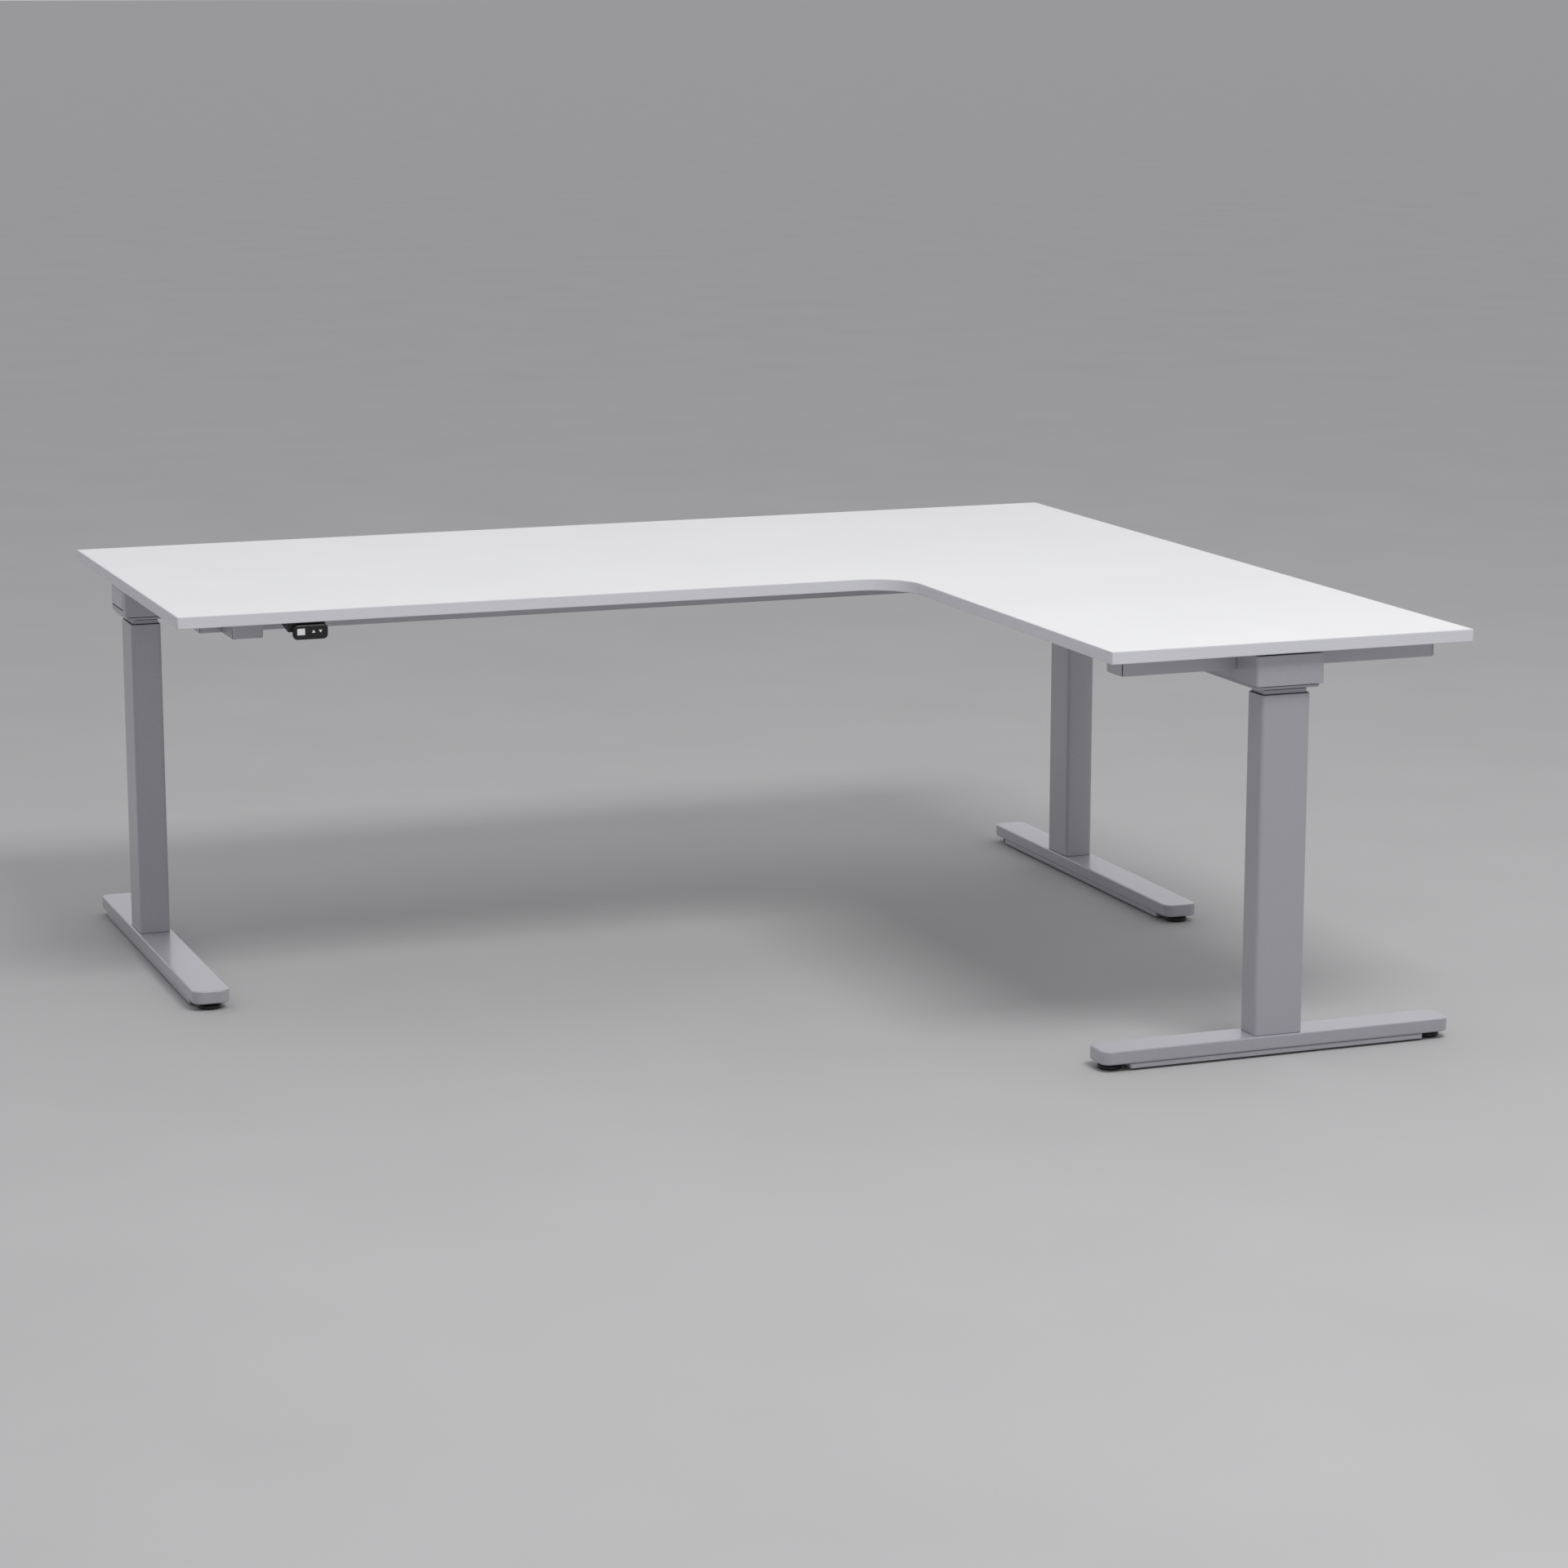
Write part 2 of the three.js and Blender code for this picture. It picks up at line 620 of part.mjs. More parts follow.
const desk = new THREE.Group();
desk.add(piece("worktop", worktop(), MATERIALS.board));
desk.add(piece("edge_band", edgeBand(), MATERIALS.edge));
for (const spec of LEGS) desk.add(leg(spec));
desk.add(piece("support_arm_left", longArm(LEGS[0]), MATERIALS.silver));
desk.add(piece("support_arm_corner", longArm(LEGS[1]), MATERIALS.silver));
desk.add(piece("support_arm_return", returnArm(), MATERIALS.silver));
desk.add(piece("front_rail", frontRail(), MATERIALS.silver));
desk.add(piece("long_beam", longBeam(), MATERIALS.silver));
desk.add(piece("return_beam", returnBeam(), MATERIALS.silver));
desk.add(piece("control_box", controlBox(), MATERIALS.plastic));
desk.add(piece("handset_base", handsetBase(), MATERIALS.plastic));
desk.add(piece("handset_paddle", handsetPaddle(), MATERIALS.plastic));
for (const [name, points] of Object.entries(LEADS)) {
  desk.add(piece(name, lead(points, leadSteps[name]), MATERIALS.rubber));
}

export default desk;
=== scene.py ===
"""A corner desk with motor-driven columns: white melamine top, silver powder-coated steel frame.

Metres, +Z up, the user stands on the -Y side. Every place is worked out from the boxes of the frame's
nodes. A surface is a stack of rings: closed loops of equally many points, each joined to the next by
quads. A ring turns counter-clockwise seen from the end of the axis it climbs, so faces point outwards.
"""

import math

import bpy
import numpy as np
from mathutils import Euler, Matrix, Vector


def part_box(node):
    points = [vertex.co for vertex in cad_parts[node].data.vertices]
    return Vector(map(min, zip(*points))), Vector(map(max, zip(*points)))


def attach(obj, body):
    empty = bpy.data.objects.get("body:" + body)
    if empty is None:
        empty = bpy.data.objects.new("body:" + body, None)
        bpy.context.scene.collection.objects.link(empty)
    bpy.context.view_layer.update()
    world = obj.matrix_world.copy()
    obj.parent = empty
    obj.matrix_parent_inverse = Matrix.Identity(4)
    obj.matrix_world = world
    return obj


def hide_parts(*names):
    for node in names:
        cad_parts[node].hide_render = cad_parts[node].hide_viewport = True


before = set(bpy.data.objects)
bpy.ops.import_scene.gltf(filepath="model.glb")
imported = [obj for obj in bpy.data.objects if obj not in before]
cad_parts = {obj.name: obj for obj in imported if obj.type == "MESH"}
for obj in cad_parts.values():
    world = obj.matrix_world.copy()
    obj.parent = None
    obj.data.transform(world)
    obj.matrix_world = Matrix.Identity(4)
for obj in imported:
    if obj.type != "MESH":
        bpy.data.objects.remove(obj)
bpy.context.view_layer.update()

MM = 0.001
HOLD = 0.6 * MM  # a narrow flat ring beside each rounding keeps the flats flat when shaded smooth
LEGS = ("left", "corner", "return")

# ------------------------------------------------------------------------------- camera

CAMERA_PLACE = (-2.1711, -5.9742, 1.5911)
CAMERA_PITCH = math.radians(78.658)  # 90 is level
CAMERA_YAW = math.radians(-20.760)
CAMERA_LENS = 91.57  # millimetres, on a 36 mm wide frame


def make_camera():
    """The camera at eye level, in front of the desk and off to its left, looking slightly down."""
    data = bpy.data.cameras.new("camera")
    data.lens = CAMERA_LENS
    data.sensor_width = 36.0
    camera = bpy.data.objects.new("camera", data)
    camera.location = CAMERA_PLACE
    camera.rotation_euler = Euler((CAMERA_PITCH, 0.0, CAMERA_YAW))
    bpy.context.scene.collection.objects.link(camera)
    bpy.context.scene.camera = camera


# ------------------------------------------------------------------------------- materials


def linear(colour):
    """An sRGB hex value such as "#a1b2c3" as linear red, green, blue and alpha."""
    channels = [int(colour[i : i + 2], 16) / 255 for i in (1, 3, 5)]
    return [c / 12.92 if c <= 0.04045 else ((c + 0.055) / 1.055) ** 2.4 for c in channels] + [1.0]


def node(material, kind, inputs=None, **settings):
    """Adds one node; a value in inputs is a number or colour, or else the output that feeds the socket."""
    made = material.node_tree.nodes.new(kind)
    for key, value in settings.items():
        setattr(made, key, value)
    for name, value in (inputs or {}).items():
        if isinstance(value, bpy.types.NodeSocket):
            material.node_tree.links.new(value, made.inputs[name])
        else:
            made.inputs[name].default_value = value
    return made


def new_material(name, **values):
    """A material and its shader, with the values that are the same all over set on the shader itself."""
    material = bpy.data.materials.new(name)
    material.use_nodes = True
    shader = material.node_tree.nodes["Principled BSDF"]
    for key, value in values.items():
        shader.inputs[key.replace("_", " ")].default_value = value
    return material, shader


def link(material, output, socket):
    material.node_tree.links.new(output, socket)


def object_coordinates(material, scale=(1, 1, 1)):
    """The place on the piece in metres, stretched by scale."""
    place = node(material, "ShaderNodeTexCoord").outputs["Object"]
    return node(material, "ShaderNodeMapping", {"Vector": place, "Scale": scale}).outputs["Vector"]


def speckle(material, size, detail=2.0, stretch=(1, 1, 1)):
    """Noise whose lumps are about size metres across, from 0 to 1."""
    place = object_coordinates(material, stretch)
    inputs = {"Vector": place, "Scale": 1 / size, "Detail": detail}
    return node(material, "ShaderNodeTexNoise", inputs).outputs["Fac"]


def between(material, factor, low, high, dark, light):
    """A colour that goes from dark to light as factor goes from low to high."""
    ramp = node(material, "ShaderNodeValToRGB", {"Fac": factor})
    ramp.color_ramp.elements[0].position = low
    ramp.color_ramp.elements[0].color = linear(dark)
    ramp.color_ramp.elements[1].position = high
    ramp.color_ramp.elements[1].color = linear(light)
    return ramp.outputs["Color"]


def spread(material, factor, low, high):
    """A number that goes from low to high as factor goes from 0.3 to 0.7."""
    inputs = {"Value": factor, "From Min": 0.3, "From Max": 0.7, "To Min": low, "To Max": high}
    return node(material, "ShaderNodeMapRange", inputs).outputs["Result"]


def bump(material, shader, height, depth):
    inputs = {"Height": height, "Distance": depth, "Strength": 1.0}
    link(material, node(material, "ShaderNodeBump", inputs).outputs["Normal"], shader.inputs["Normal"])


def melamine():
    """White melamine paper pressed on chipboard: a satin, slightly cloudy sheet with a fine pearl grain."""
    material, shader = new_material("melamine_white", Roughness=0.5, IOR=1.47)
    grain = speckle(material, 1.6 * MM, 3.0)  # the real grain is 0.5 mm; drawn coarser so that it shows
    cloud = speckle(material, 260 * MM, 2.0)
    link(material, between(material, cloud, 0.3, 0.7, "#ededed", "#f0f0f0"), shader.inputs["Base Color"])
    link(material, spread(material, grain, 0.44, 0.56), shader.inputs["Roughness"])
    bump(material, shader, grain, 0.03 * MM)
    return material


def abs_edging():
    """Extruded ABS edging: cooler and a shade darker than the board, with faint lines along it."""
    material, shader = new_material("abs_edging", Roughness=0.3, IOR=1.53)
    lines = speckle(material, 40 * MM, 2.0, (1, 1, 90))  # stretched: long streaks, 0.4 mm apart
    link(material, between(material, lines, 0.3, 0.7, "#dcdce3", "#e3e3e9"), shader.inputs["Base Color"])
    link(material, spread(material, lines, 0.26, 0.36), shader.inputs["Roughness"])
    bump(material, shader, lines, 0.02 * MM)
    return material


def powder_coat():
    """Silver polyester powder coat: aluminium flake under a clear film with a fine orange peel.

    The flake gives a soft, slightly sparkling grey, and the glossier film a sheen along flat tops.
    """
    film = {"Coat_Weight": 0.6, "Coat_Roughness": 0.15, "Coat_IOR": 1.5}
    material, shader = new_material("powder_coat_silver", Metallic=0.2, Roughness=0.42, **film)
    peel = speckle(material, 3.5 * MM, 1.0)
    flake = speckle(material, 0.9 * MM, 1.0)  # real flakes are 0.05 mm; drawn coarser so that they show
    colour = between(material, flake, 0.25, 0.75, "#a6a5ad", "#bab9c1")
    link(material, colour, shader.inputs["Base Color"])
    link(material, spread(material, flake, 0.36, 0.5), shader.inputs["Roughness"])
    bump(material, shader, peel, 0.04 * MM)
    return material


def zinc_steel():
    """Zinc-plated steel: bright, slightly blue, with faint turning marks."""
    material, shader = new_material("zinc_plated_steel", Metallic=1.0, Roughness=0.3)
    marks = speckle(material, 2 * MM, 2.0, (1, 1, 12))
    link(material, between(material, marks, 0.3, 0.7, "#a3a6aa", "#c2c5c9"), shader.inputs["Base Color"])
    link(material, spread(material, marks, 0.22, 0.4), shader.inputs["Roughness"])
    return material


def cast_zinc():
    """Die-cast zinc gearbox and motor can, dull grey with a slightly mottled skin."""
    material, shader = new_material("die_cast_zinc", Metallic=0.9, Roughness=0.5)
    skin = speckle(material, 5 * MM, 4.0)
    link(material, between(material, skin, 0.3, 0.7, "#7d7f82", "#96989b"), shader.inputs["Base Color"])
    bump(material, shader, skin, 0.1 * MM)
    return material


def moulded_plastic(name, dark, light, roughness, grain):
    """Injection-moulded plastic with a spark-eroded skin: a soft sheen without a clear reflection.

    The pits are grain metres across; real ones are 0.1 mm and are drawn coarser so that they show.
    """
    material, shader = new_material(name, IOR=1.53, Roughness=roughness)
    pits = speckle(material, grain, 2.0)
    link(material, between(material, pits, 0.3, 0.7, dark, light), shader.inputs["Base Color"])
    link(material, spread(material, pits, roughness - 0.06, roughness + 0.08), shader.inputs["Roughness"])
    bump(material, shader, pits, 0.05 * MM)
    return material


def foil():
    """Satin aluminium foil, brushed along its length, which draws out its highlights into streaks."""
    material, shader = new_material("satin_foil", Metallic=0.3, Roughness=0.4)
    brushing = speckle(material, 20 * MM, 2.0, (1, 1, 60))
    colour = between(material, brushing, 0.3, 0.7, "#c6c6ce", "#d2d2da")
    link(material, colour, shader.inputs["Base Color"])
    return material


def studio_floor():
    """Pale matt studio paper, a little uneven, that shows no reflection."""
    material, shader = new_material("studio_paper", Roughness=0.95)
    fibre = speckle(material, 400 * MM, 2.0)
    link(material, between(material, fibre, 0.3, 0.7, "#bcbcbc", "#bfbfbf"), shader.inputs["Base Color"])
    return material


MELAMINE = melamine()
EDGING = abs_edging()
SILVER = powder_coat()
ZINC = zinc_steel()
CASTING = cast_zinc()
FOIL = foil()
BLACK_ABS = moulded_plastic("abs_black", "#131316", "#1d1d21", 0.42, 0.9 * MM)
PADDLE_ABS = moulded_plastic("abs_black_satin", "#060607", "#0b0b0c", 0.4, 0.9 * MM)
NYLON = moulded_plastic("nylon_black", "#101012", "#19191c", 0.5, 1.2 * MM)
RUBBER = moulded_plastic("rubber_black", "#141414", "#1d1d1d", 0.8, 1.5 * MM)
PVC = moulded_plastic("pvc_sheath", "#121214", "#1b1b1e", 0.48, 1.0 * MM)
WHITE_INK = moulded_plastic("white_print", "#eeeeee", "#f4f4f4", 0.5, 1.0 * MM)

# ------------------------------------------------------------------------------- outlines


def outline(corners, radii, inset=0.0, steps=6):
    """A polygon with rounded corners, counter-clockwise, moved inwards by inset.

    At each corner the two sides meet at the angle turn. The rounding's centre lies radius from both sides,
    and the arc starts radius * tan(turn / 2) before the corner. An inset shortens the radius of an outer
    corner and lengthens that of an inner one. A point HOLD before and after each arc keeps the sides flat.
    """
    corners = np.asarray(corners, float)
    radii = np.broadcast_to(np.asarray(radii, float), len(corners))
    ahead = np.roll(corners, -1, axis=0) - corners
    ahead /= np.linalg.norm(ahead, axis=1)[:, None]
    behind = np.roll(ahead, 1, axis=0)
    left_ahead = np.stack([-ahead[:, 1], ahead[:, 0]], axis=1)
    left_behind = np.roll(left_ahead, 1, axis=0)
    cosine = (left_ahead * left_behind).sum(1)
    moved = corners + inset * (left_ahead + left_behind) / (1 + cosine)[:, None]
    turn = np.arctan2(behind[:, 0] * ahead[:, 1] - behind[:, 1] * ahead[:, 0], cosine)
    side = np.sign(turn)
    radius = np.maximum(radii - side * inset, 0.05 * MM)
    reach = radius * np.tan(np.abs(turn) / 2)
    centre = moved - behind * reach[:, None] + left_behind * (side * radius)[:, None]
    start = np.arctan2(-side * left_behind[:, 1], -side * left_behind[:, 0])
    angle = start[:, None] + turn[:, None] * np.linspace(0, 1, steps + 1)[None]
    circle = np.stack([np.cos(angle), np.sin(angle)], axis=2)
    arc = centre[:, None] + radius[:, None, None] * circle
    before = arc[:, :1] - HOLD * behind[:, None]
    after = arc[:, -1:] + HOLD * ahead[:, None]
    return np.concatenate([before, arc, after], axis=1).reshape(-1, 2)


def rectangle(x0, x1, y0, y1):
    return [(x0, y0), (x1, y0), (x1, y1), (x0, y1)]


def round_points(radius, angle, centre):
    """centre + radius * (cos angle, sin angle), for one radius or one for each angle."""
    return np.stack([centre[0] + radius * np.cos(angle), centre[1] + radius * np.sin(angle)], axis=1)


def circle(radius, count=32, centre=(0.0, 0.0)):
    return round_points(radius, np.arange(count) * 2 * math.pi / count, centre)


def hexagon(across, count=32, centre=(0.0, 0.0)):
    """A hexagon across flats, drawn with count points: radius = across / 2 / cos(angle from the flat)."""
    angle = np.arange(count) * 2 * math.pi / count
    off_flat = (angle + math.pi / 6) % (math.pi / 3) - math.pi / 6
    return round_points(across / 2 / np.cos(off_flat), angle, centre)


def rounded_levels(low, high, low_radius, high_radius, steps=5):
    """(inset, height) from the bottom face to the top face, over a quarter circle at each edge.

    inset = radius * (1 - cos t) where the wall meets the flat, and the height moves by radius * sin t.
    """
    t = np.linspace(0, math.pi / 2, steps + 1)
    bottom = np.stack([low_radius * (1 - np.sin(t)), low + low_radius * (1 - np.cos(t))], axis=1)
    top = np.stack([high_radius * (1 - np.cos(t)), high - high_radius * (1 - np.sin(t))], axis=1)
    wall = [[0, low + low_radius + HOLD], [0, high - high_radius - HOLD]]
    return np.concatenate([[[low_radius + HOLD, low]], bottom, wall, top, [[high_radius + HOLD, high]]])


# ------------------------------------------------------------------------------- surfaces

AXES = {"x": (2, 0, 1), "y": (1, 2, 0), "z": (0, 1, 2)}  # which of (u, v, along) gives x, y and z


def stack(rings, axis="z", closed=False):
    """Vertices and faces of a stack of rings; rings is a list of (outline, place along the axis).

    The first and last ring get a flat cap, or with closed the last ring joins the first.
    """
    loops = [np.column_stack([points, np.full(len(points), along)]) for points, along in rings]
    points = np.array(loops)
    count, length = points.shape[:2]
    vertices = points.reshape(-1, 3)[:, AXES[axis]]
    rows = np.arange(count if closed else count - 1)
    here = (rows[:, None] * length + np.arange(length)[None]).ravel()
    beside = (rows[:, None] * length + (np.arange(length)[None] + 1) % length).ravel()
    wrap = count * length
    quads = np.stack([here, beside, (beside + length) % wrap, (here + length) % wrap], axis=1)
    faces = quads.tolist()
    if not closed:
        faces.append(list(range(length))[::-1])
        faces.append(list(range((count - 1) * length, wrap)))
    return vertices, faces


def slab(corners, radii, low, high, low_radius, high_radius, axis="z", steps=6):
    """A plate or bar: one outline carried from low to high, with rounded edges at both ends."""
    levels = rounded_levels(low, high, low_radius, high_radius)
    return stack([(outline(corners, radii, inset, steps), along) for inset, along in levels], axis)


def box_slab(x0, x1, y0, y1, z0, z1, corner, edge, axis="z"):
    """A rectangular plate or bar, its outline across axis rounded by corner and its ends by edge."""
    spans = {"z": (x0, x1, y0, y1, z0, z1), "x": (y0, y1, z0, z1, x0, x1), "y": (z0, z1, x0, x1, y0, y1)}
    u0, u1, v0, v1, low, high = spans[axis]
    return slab(rectangle(u0, u1, v0, v1), corner, low, high, edge, edge, axis)


def hollow_slab(corners, radii, low, high, low_radius, high_radius, wall, ceiling):
    """A cover: rounded outside like a slab, hollow from below up to ceiling, with walls wall thick."""
    inside = [(wall + HOLD, ceiling), (wall, ceiling), (wall, ceiling - HOLD)]
    inside += [(wall, low + HOLD), (wall, low)]
    outside = rounded_levels(low, high, low_radius, high_radius)[1:].tolist()
    return stack([(outline(corners, radii, inset), along) for inset, along in inside + outside])


def tube(corners, radii, wall, low, high, edge=0.4 * MM, axis="z"):
    """A tube with square ends: up the outside and down the inside, the rims eased by edge."""
    outside = [(edge, low), (0, low + edge), (0, low + edge + HOLD), (0, high - edge - HOLD)]
    outside += [(0, high - edge), (edge, high), (wall - edge, high), (wall, high - edge)]
    inside = [(wall, high - edge - HOLD), (wall, low + edge + HOLD), (wall, low + edge), (wall - edge, low)]
    levels = outside + inside
    return stack([(outline(corners, radii, inset), along) for inset, along in levels], axis, closed=True)


def turned(profile, centre, axis="z", count=32):
    """A surface of revolution from (radius, place along the axis) pairs, with flat end caps."""
    return stack([(circle(radius, count, centre), along) for radius, along in profile], axis)


def outward(rings, direction):
    """Rings that go down their axis are turned the other way round, so that their faces point out too."""
    return rings if direction > 0 else [(points[::-1], along) for points, along in rings]


def socket_screw(centre, seat, direction, radius, height, axis="z"):
    """A button-head screw with a hexagon socket; seat is where its head rests and direction is 1 or -1.

    The head's radius falls from full to half with cos t while its height climbs with sin t.
    """
    dome = np.linspace(0, math.pi / 2, 6)[:-1]
    rise = 0.35 * height + 0.65 * height * np.sin(dome)
    rings = [(circle(radius, 32, centre), seat), (circle(radius, 32, centre), seat + direction * rise[0])]
    for lift, angle in zip(rise[1:], dome[1:]):
        rings.append((circle(radius * (0.5 + 0.5 * math.cos(angle)), 32, centre), seat + direction * lift))
    crown = seat + direction * height
    socket = hexagon(radius * 0.8, 32, centre)
    rings += [(socket, crown), (socket, crown - direction * height * 0.6)]
    return stack(outward(rings, direction), axis)


def bolt_head(centre, seat, direction, across, height, axis="z"):
    """A hexagon bolt head on a washer, standing on seat."""
    chamfer = 0.12 * across
    rings = [
        (circle(across * 0.62, 32, centre), seat),
        (circle(across * 0.62, 32, centre), seat + direction * 1.2 * MM),
        (hexagon(across, 32, centre), seat + direction * 1.2 * MM),
        (hexagon(across, 32, centre), seat + direction * (height - chamfer * 0.5)),
        (circle(across * 0.46, 32, centre), seat + direction * height),
    ]
    return stack(outward(rings, direction), axis)


def thread(radius, depth, pitch, low, high, per_turn=24, per_pitch=6):
    """A threaded rod along Z: radius - depth * wave, where wave is a flat-topped zigzag of the phase
    height / pitch - angle / (2 pi), so that the crests climb one pitch in each turn."""
    rows = int((high - low) / pitch * per_pitch)
    height = np.linspace(low, high, rows)
    angle = np.arange(per_turn) * 2 * math.pi / per_turn
    phase = height[:, None] / pitch - angle[None] / (2 * math.pi)
    zigzag = np.abs((phase % 1) * 2 - 1)
    local = radius - depth * np.clip(zigzag * 2 - 0.5, 0, 1)
    return stack([(round_points(row, angle, (0.0, 0.0)), z) for row, z in zip(local, height)])


def sweep(points, radius, count=12, samples=6):
    """A round lead: a circle carried along a smooth curve through points.

    The curve is a cubic through each pair of points whose slopes are 0.3 of the chord between their
    neighbours. The circle stands across the curve, with one diameter kept level.
    """
    points = np.asarray(points, float)
    tangents = 0.3 * (np.roll(points, -1, 0) - np.roll(points, 1, 0))
    tangents[0] = 0.6 * (points[1] - points[0])
    tangents[-1] = 0.6 * (points[-1] - points[-2])
    t = np.linspace(0, 1, samples, endpoint=False)[None, :, None]
    p0, p1 = points[:-1, None], points[1:, None]
    m0, m1 = tangents[:-1, None], tangents[1:, None]
    curve = (2 * t**3 - 3 * t**2 + 1) * p0 + (t**3 - 2 * t**2 + t) * m0
    curve += (3 * t**2 - 2 * t**3) * p1 + (t**3 - t**2) * m1
    path = np.concatenate([curve.reshape(-1, 3), points[-1:]])
    along = np.gradient(path, axis=0)
    along /= np.linalg.norm(along, axis=1)[:, None]
    level = np.cross(along, (0, 0, 1))
    level /= np.linalg.norm(level, axis=1)[:, None]
    upright = np.cross(level, along)
    angle = np.arange(count) * 2 * math.pi / count
    ring = np.cos(angle)[None, :, None] * level[:, None] + np.sin(angle)[None, :, None] * upright[:, None]
    vertices = (path[:, None] + radius * ring).reshape(-1, 3)
    faces = stack([(circle(1, count), i) for i in range(len(path))])[1]
    return vertices, [face[::-1] for face in faces]


def moved(surface, leg):
    """A surface made in a leg's own frame, turned and moved to its place on the desk."""
    vertices, faces = surface
    inward, across, origin = leg["inward"], leg["across"], leg["origin"]
    x = origin[0] + vertices[:, 0] * inward[0] + vertices[:, 1] * across[0]
    y = origin[1] + vertices[:, 0] * inward[1] + vertices[:, 1] * across[1]
    return np.stack([x, y, vertices[:, 2]], axis=1), faces


# ------------------------------------------------------------------------------- pieces


def piece(name, surfaces, material, body, replaces=()):
    """One object from one or more surfaces, shaded smooth with creases kept, riding on a CAD body."""
    vertices, faces = [], []
    offset = 0
    for points, polygons in surfaces:
        vertices.append(points)
        faces += [[index + offset for index in polygon] for polygon in polygons]
        offset += len(points)
    mesh = bpy.data.meshes.new(name)
    mesh.from_pydata(np.concatenate(vertices).tolist(), [], faces)
    mesh.polygons.foreach_set("use_smooth", np.ones(len(mesh.polygons), bool))
    mesh.set_sharp_from_angle(angle=math.radians(38))
    mesh.materials.append(material)
    made = bpy.data.objects.new(name, mesh)
    bpy.context.scene.collection.objects.link(made)
    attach(made, body)
    if replaces:
        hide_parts(*replaces)
    return made


def span(name):
    """A node's box as x0, x1, y0, y1, z0, z1."""
    low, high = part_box(name)
    return low.x, high.x, low.y, high.y, low.z, high.z


def leg_frame(name):
    """A leg's own frame: the column's centre, the way to the housing's inner end, and the way across."""
    x0, x1, y0, y1, _, _ = span(f"outer_tube_{name}")
    hx0, hx1, hy0, hy1, _, _ = span(f"motor_housing_{name}")
    origin = np.array([(x0 + x1) / 2, (y0 + y1) / 2])
    reach = np.array([(hx0 + hx1) / 2, (hy0 + hy1) / 2]) - origin
    inward = np.round(reach / np.abs(reach).max())
    across = np.array([-inward[1], inward[0]])
    return {"name": name, "origin": origin, "inward": inward, "across": across}


def local_span(leg, node_name):
    """A node's box in the leg's own frame."""
    x0, x1, y0, y1, z0, z1 = span(node_name)
    corners = np.array([[x0, y0], [x1, y1]]) - leg["origin"]
    along = corners @ leg["inward"]
    across = corners @ leg["across"]
    return along.min(), along.max(), across.min(), across.max(), z0, z1


# ------------------------------------------------------------------------------- the top

INNER_CORNER_RADIUS = 80 * MM
OUTER_CORNER_RADIUS = 2 * MM
EDGING_THICKNESS = 2 * MM
EDGE_ROUNDING = 1.3 * MM  # of the edging, above and below
GLUE_LINE = 0.1 * MM  # between the board and its edging
FOOT_SETBACK = 6 * MM  # of the return leg's foot, from the return wing's inner edge


def make_top():
    """The L-shaped board, and the edging round it as a closed ring with rounded edges."""
    x0, x1, y0, y1, z0, z1 = span("edge_band")
    wing_inner = span("foot_return")[0] - FOOT_SETBACK
    wing_front = span("handset_paddle")[2]
    corners = [(wing_inner, y0), (x1, y0), (x1, y1), (x0, y1), (x0, wing_front), (wing_inner, wing_front)]
    radii = [OUTER_CORNER_RADIUS] * 5 + [INNER_CORNER_RADIUS]
    board = EDGING_THICKNESS + GLUE_LINE
    levels = rounded_levels(z0, z1, 0.15 * MM, 0.15 * MM)
    rings = [(outline(corners, radii, board + inset, 16), z) for inset, z in levels]
    piece("worktop_board", [stack(rings)], MELAMINE, "top", ["worktop"])
    levels = rounded_levels(z0, z1, EDGE_ROUNDING, EDGE_ROUNDING)
    levels[0, 0] = levels[-1, 0] = EDGING_THICKNESS
    rings = [(outline(corners, radii, inset, 16), z) for inset, z in levels]
    piece("edging", [stack(rings, closed=True)], EDGING, "top", ["edge_band"])


# ------------------------------------------------------------------------------- legs

FOOT_CORNER_RADIUS = 16 * MM
FOOT_TOP_RADIUS = 2 * MM
FOOT_BOTTOM_RADIUS = 3 * MM
FOOT_WALL = 3.5 * MM
FOOT_HOLLOW = 5 * MM  # depth of the hollow under the bar
RAIL_SCREW_INSET = 30 * MM  # of the outermost screws, from the rail's ends
COLUMN_RADIUS = 6 * MM
COLUMN_WALL = 2 * MM
OUTER_SLEEVE_RISE = 0.9 * MM  # a sleeve stands this much above its tube
# painted shade: the middle sleeve is raised so that its black nylon fills the shaded gap under the cover
MIDDLE_SLEEVE_RISE = 2.4 * MM


def make_foot(leg):
    """The flat bar with rounded ends, hollow from below, and the rail under it with its screws."""
    name = leg["name"]
    x0, x1, y0, y1, z0, z1 = local_span(leg, f"foot_{name}")
    edges = (FOOT_BOTTOM_RADIUS, FOOT_TOP_RADIUS)
    ceiling = z0 + FOOT_HOLLOW
    bar = hollow_slab(rectangle(x0, x1, y0, y1), FOOT_CORNER_RADIUS, z0, z1, *edges, FOOT_WALL, ceiling)
    piece(f"foot_bar_{name}", [moved(bar, leg)], SILVER, "base", [f"foot_{name}"])
    x0, x1, y0, y1, z0, z1 = local_span(leg, f"foot_rail_{name}")
    rail = box_slab(x0, x1, y0, y1, z0, z1, 4 * MM, 1 * MM)
    places = np.linspace(y0 + RAIL_SCREW_INSET, y1 - RAIL_SCREW_INSET, 4)
    screws = [socket_screw((0, y), z0, -1, 5 * MM, 1.6 * MM) for y in places]
    piece(f"base_rail_{name}", [moved(rail, leg)], SILVER, "base", [f"foot_rail_{name}"])
    piece(f"base_rail_screws_{name}", [moved(s, leg) for s in screws], ZINC, "base")


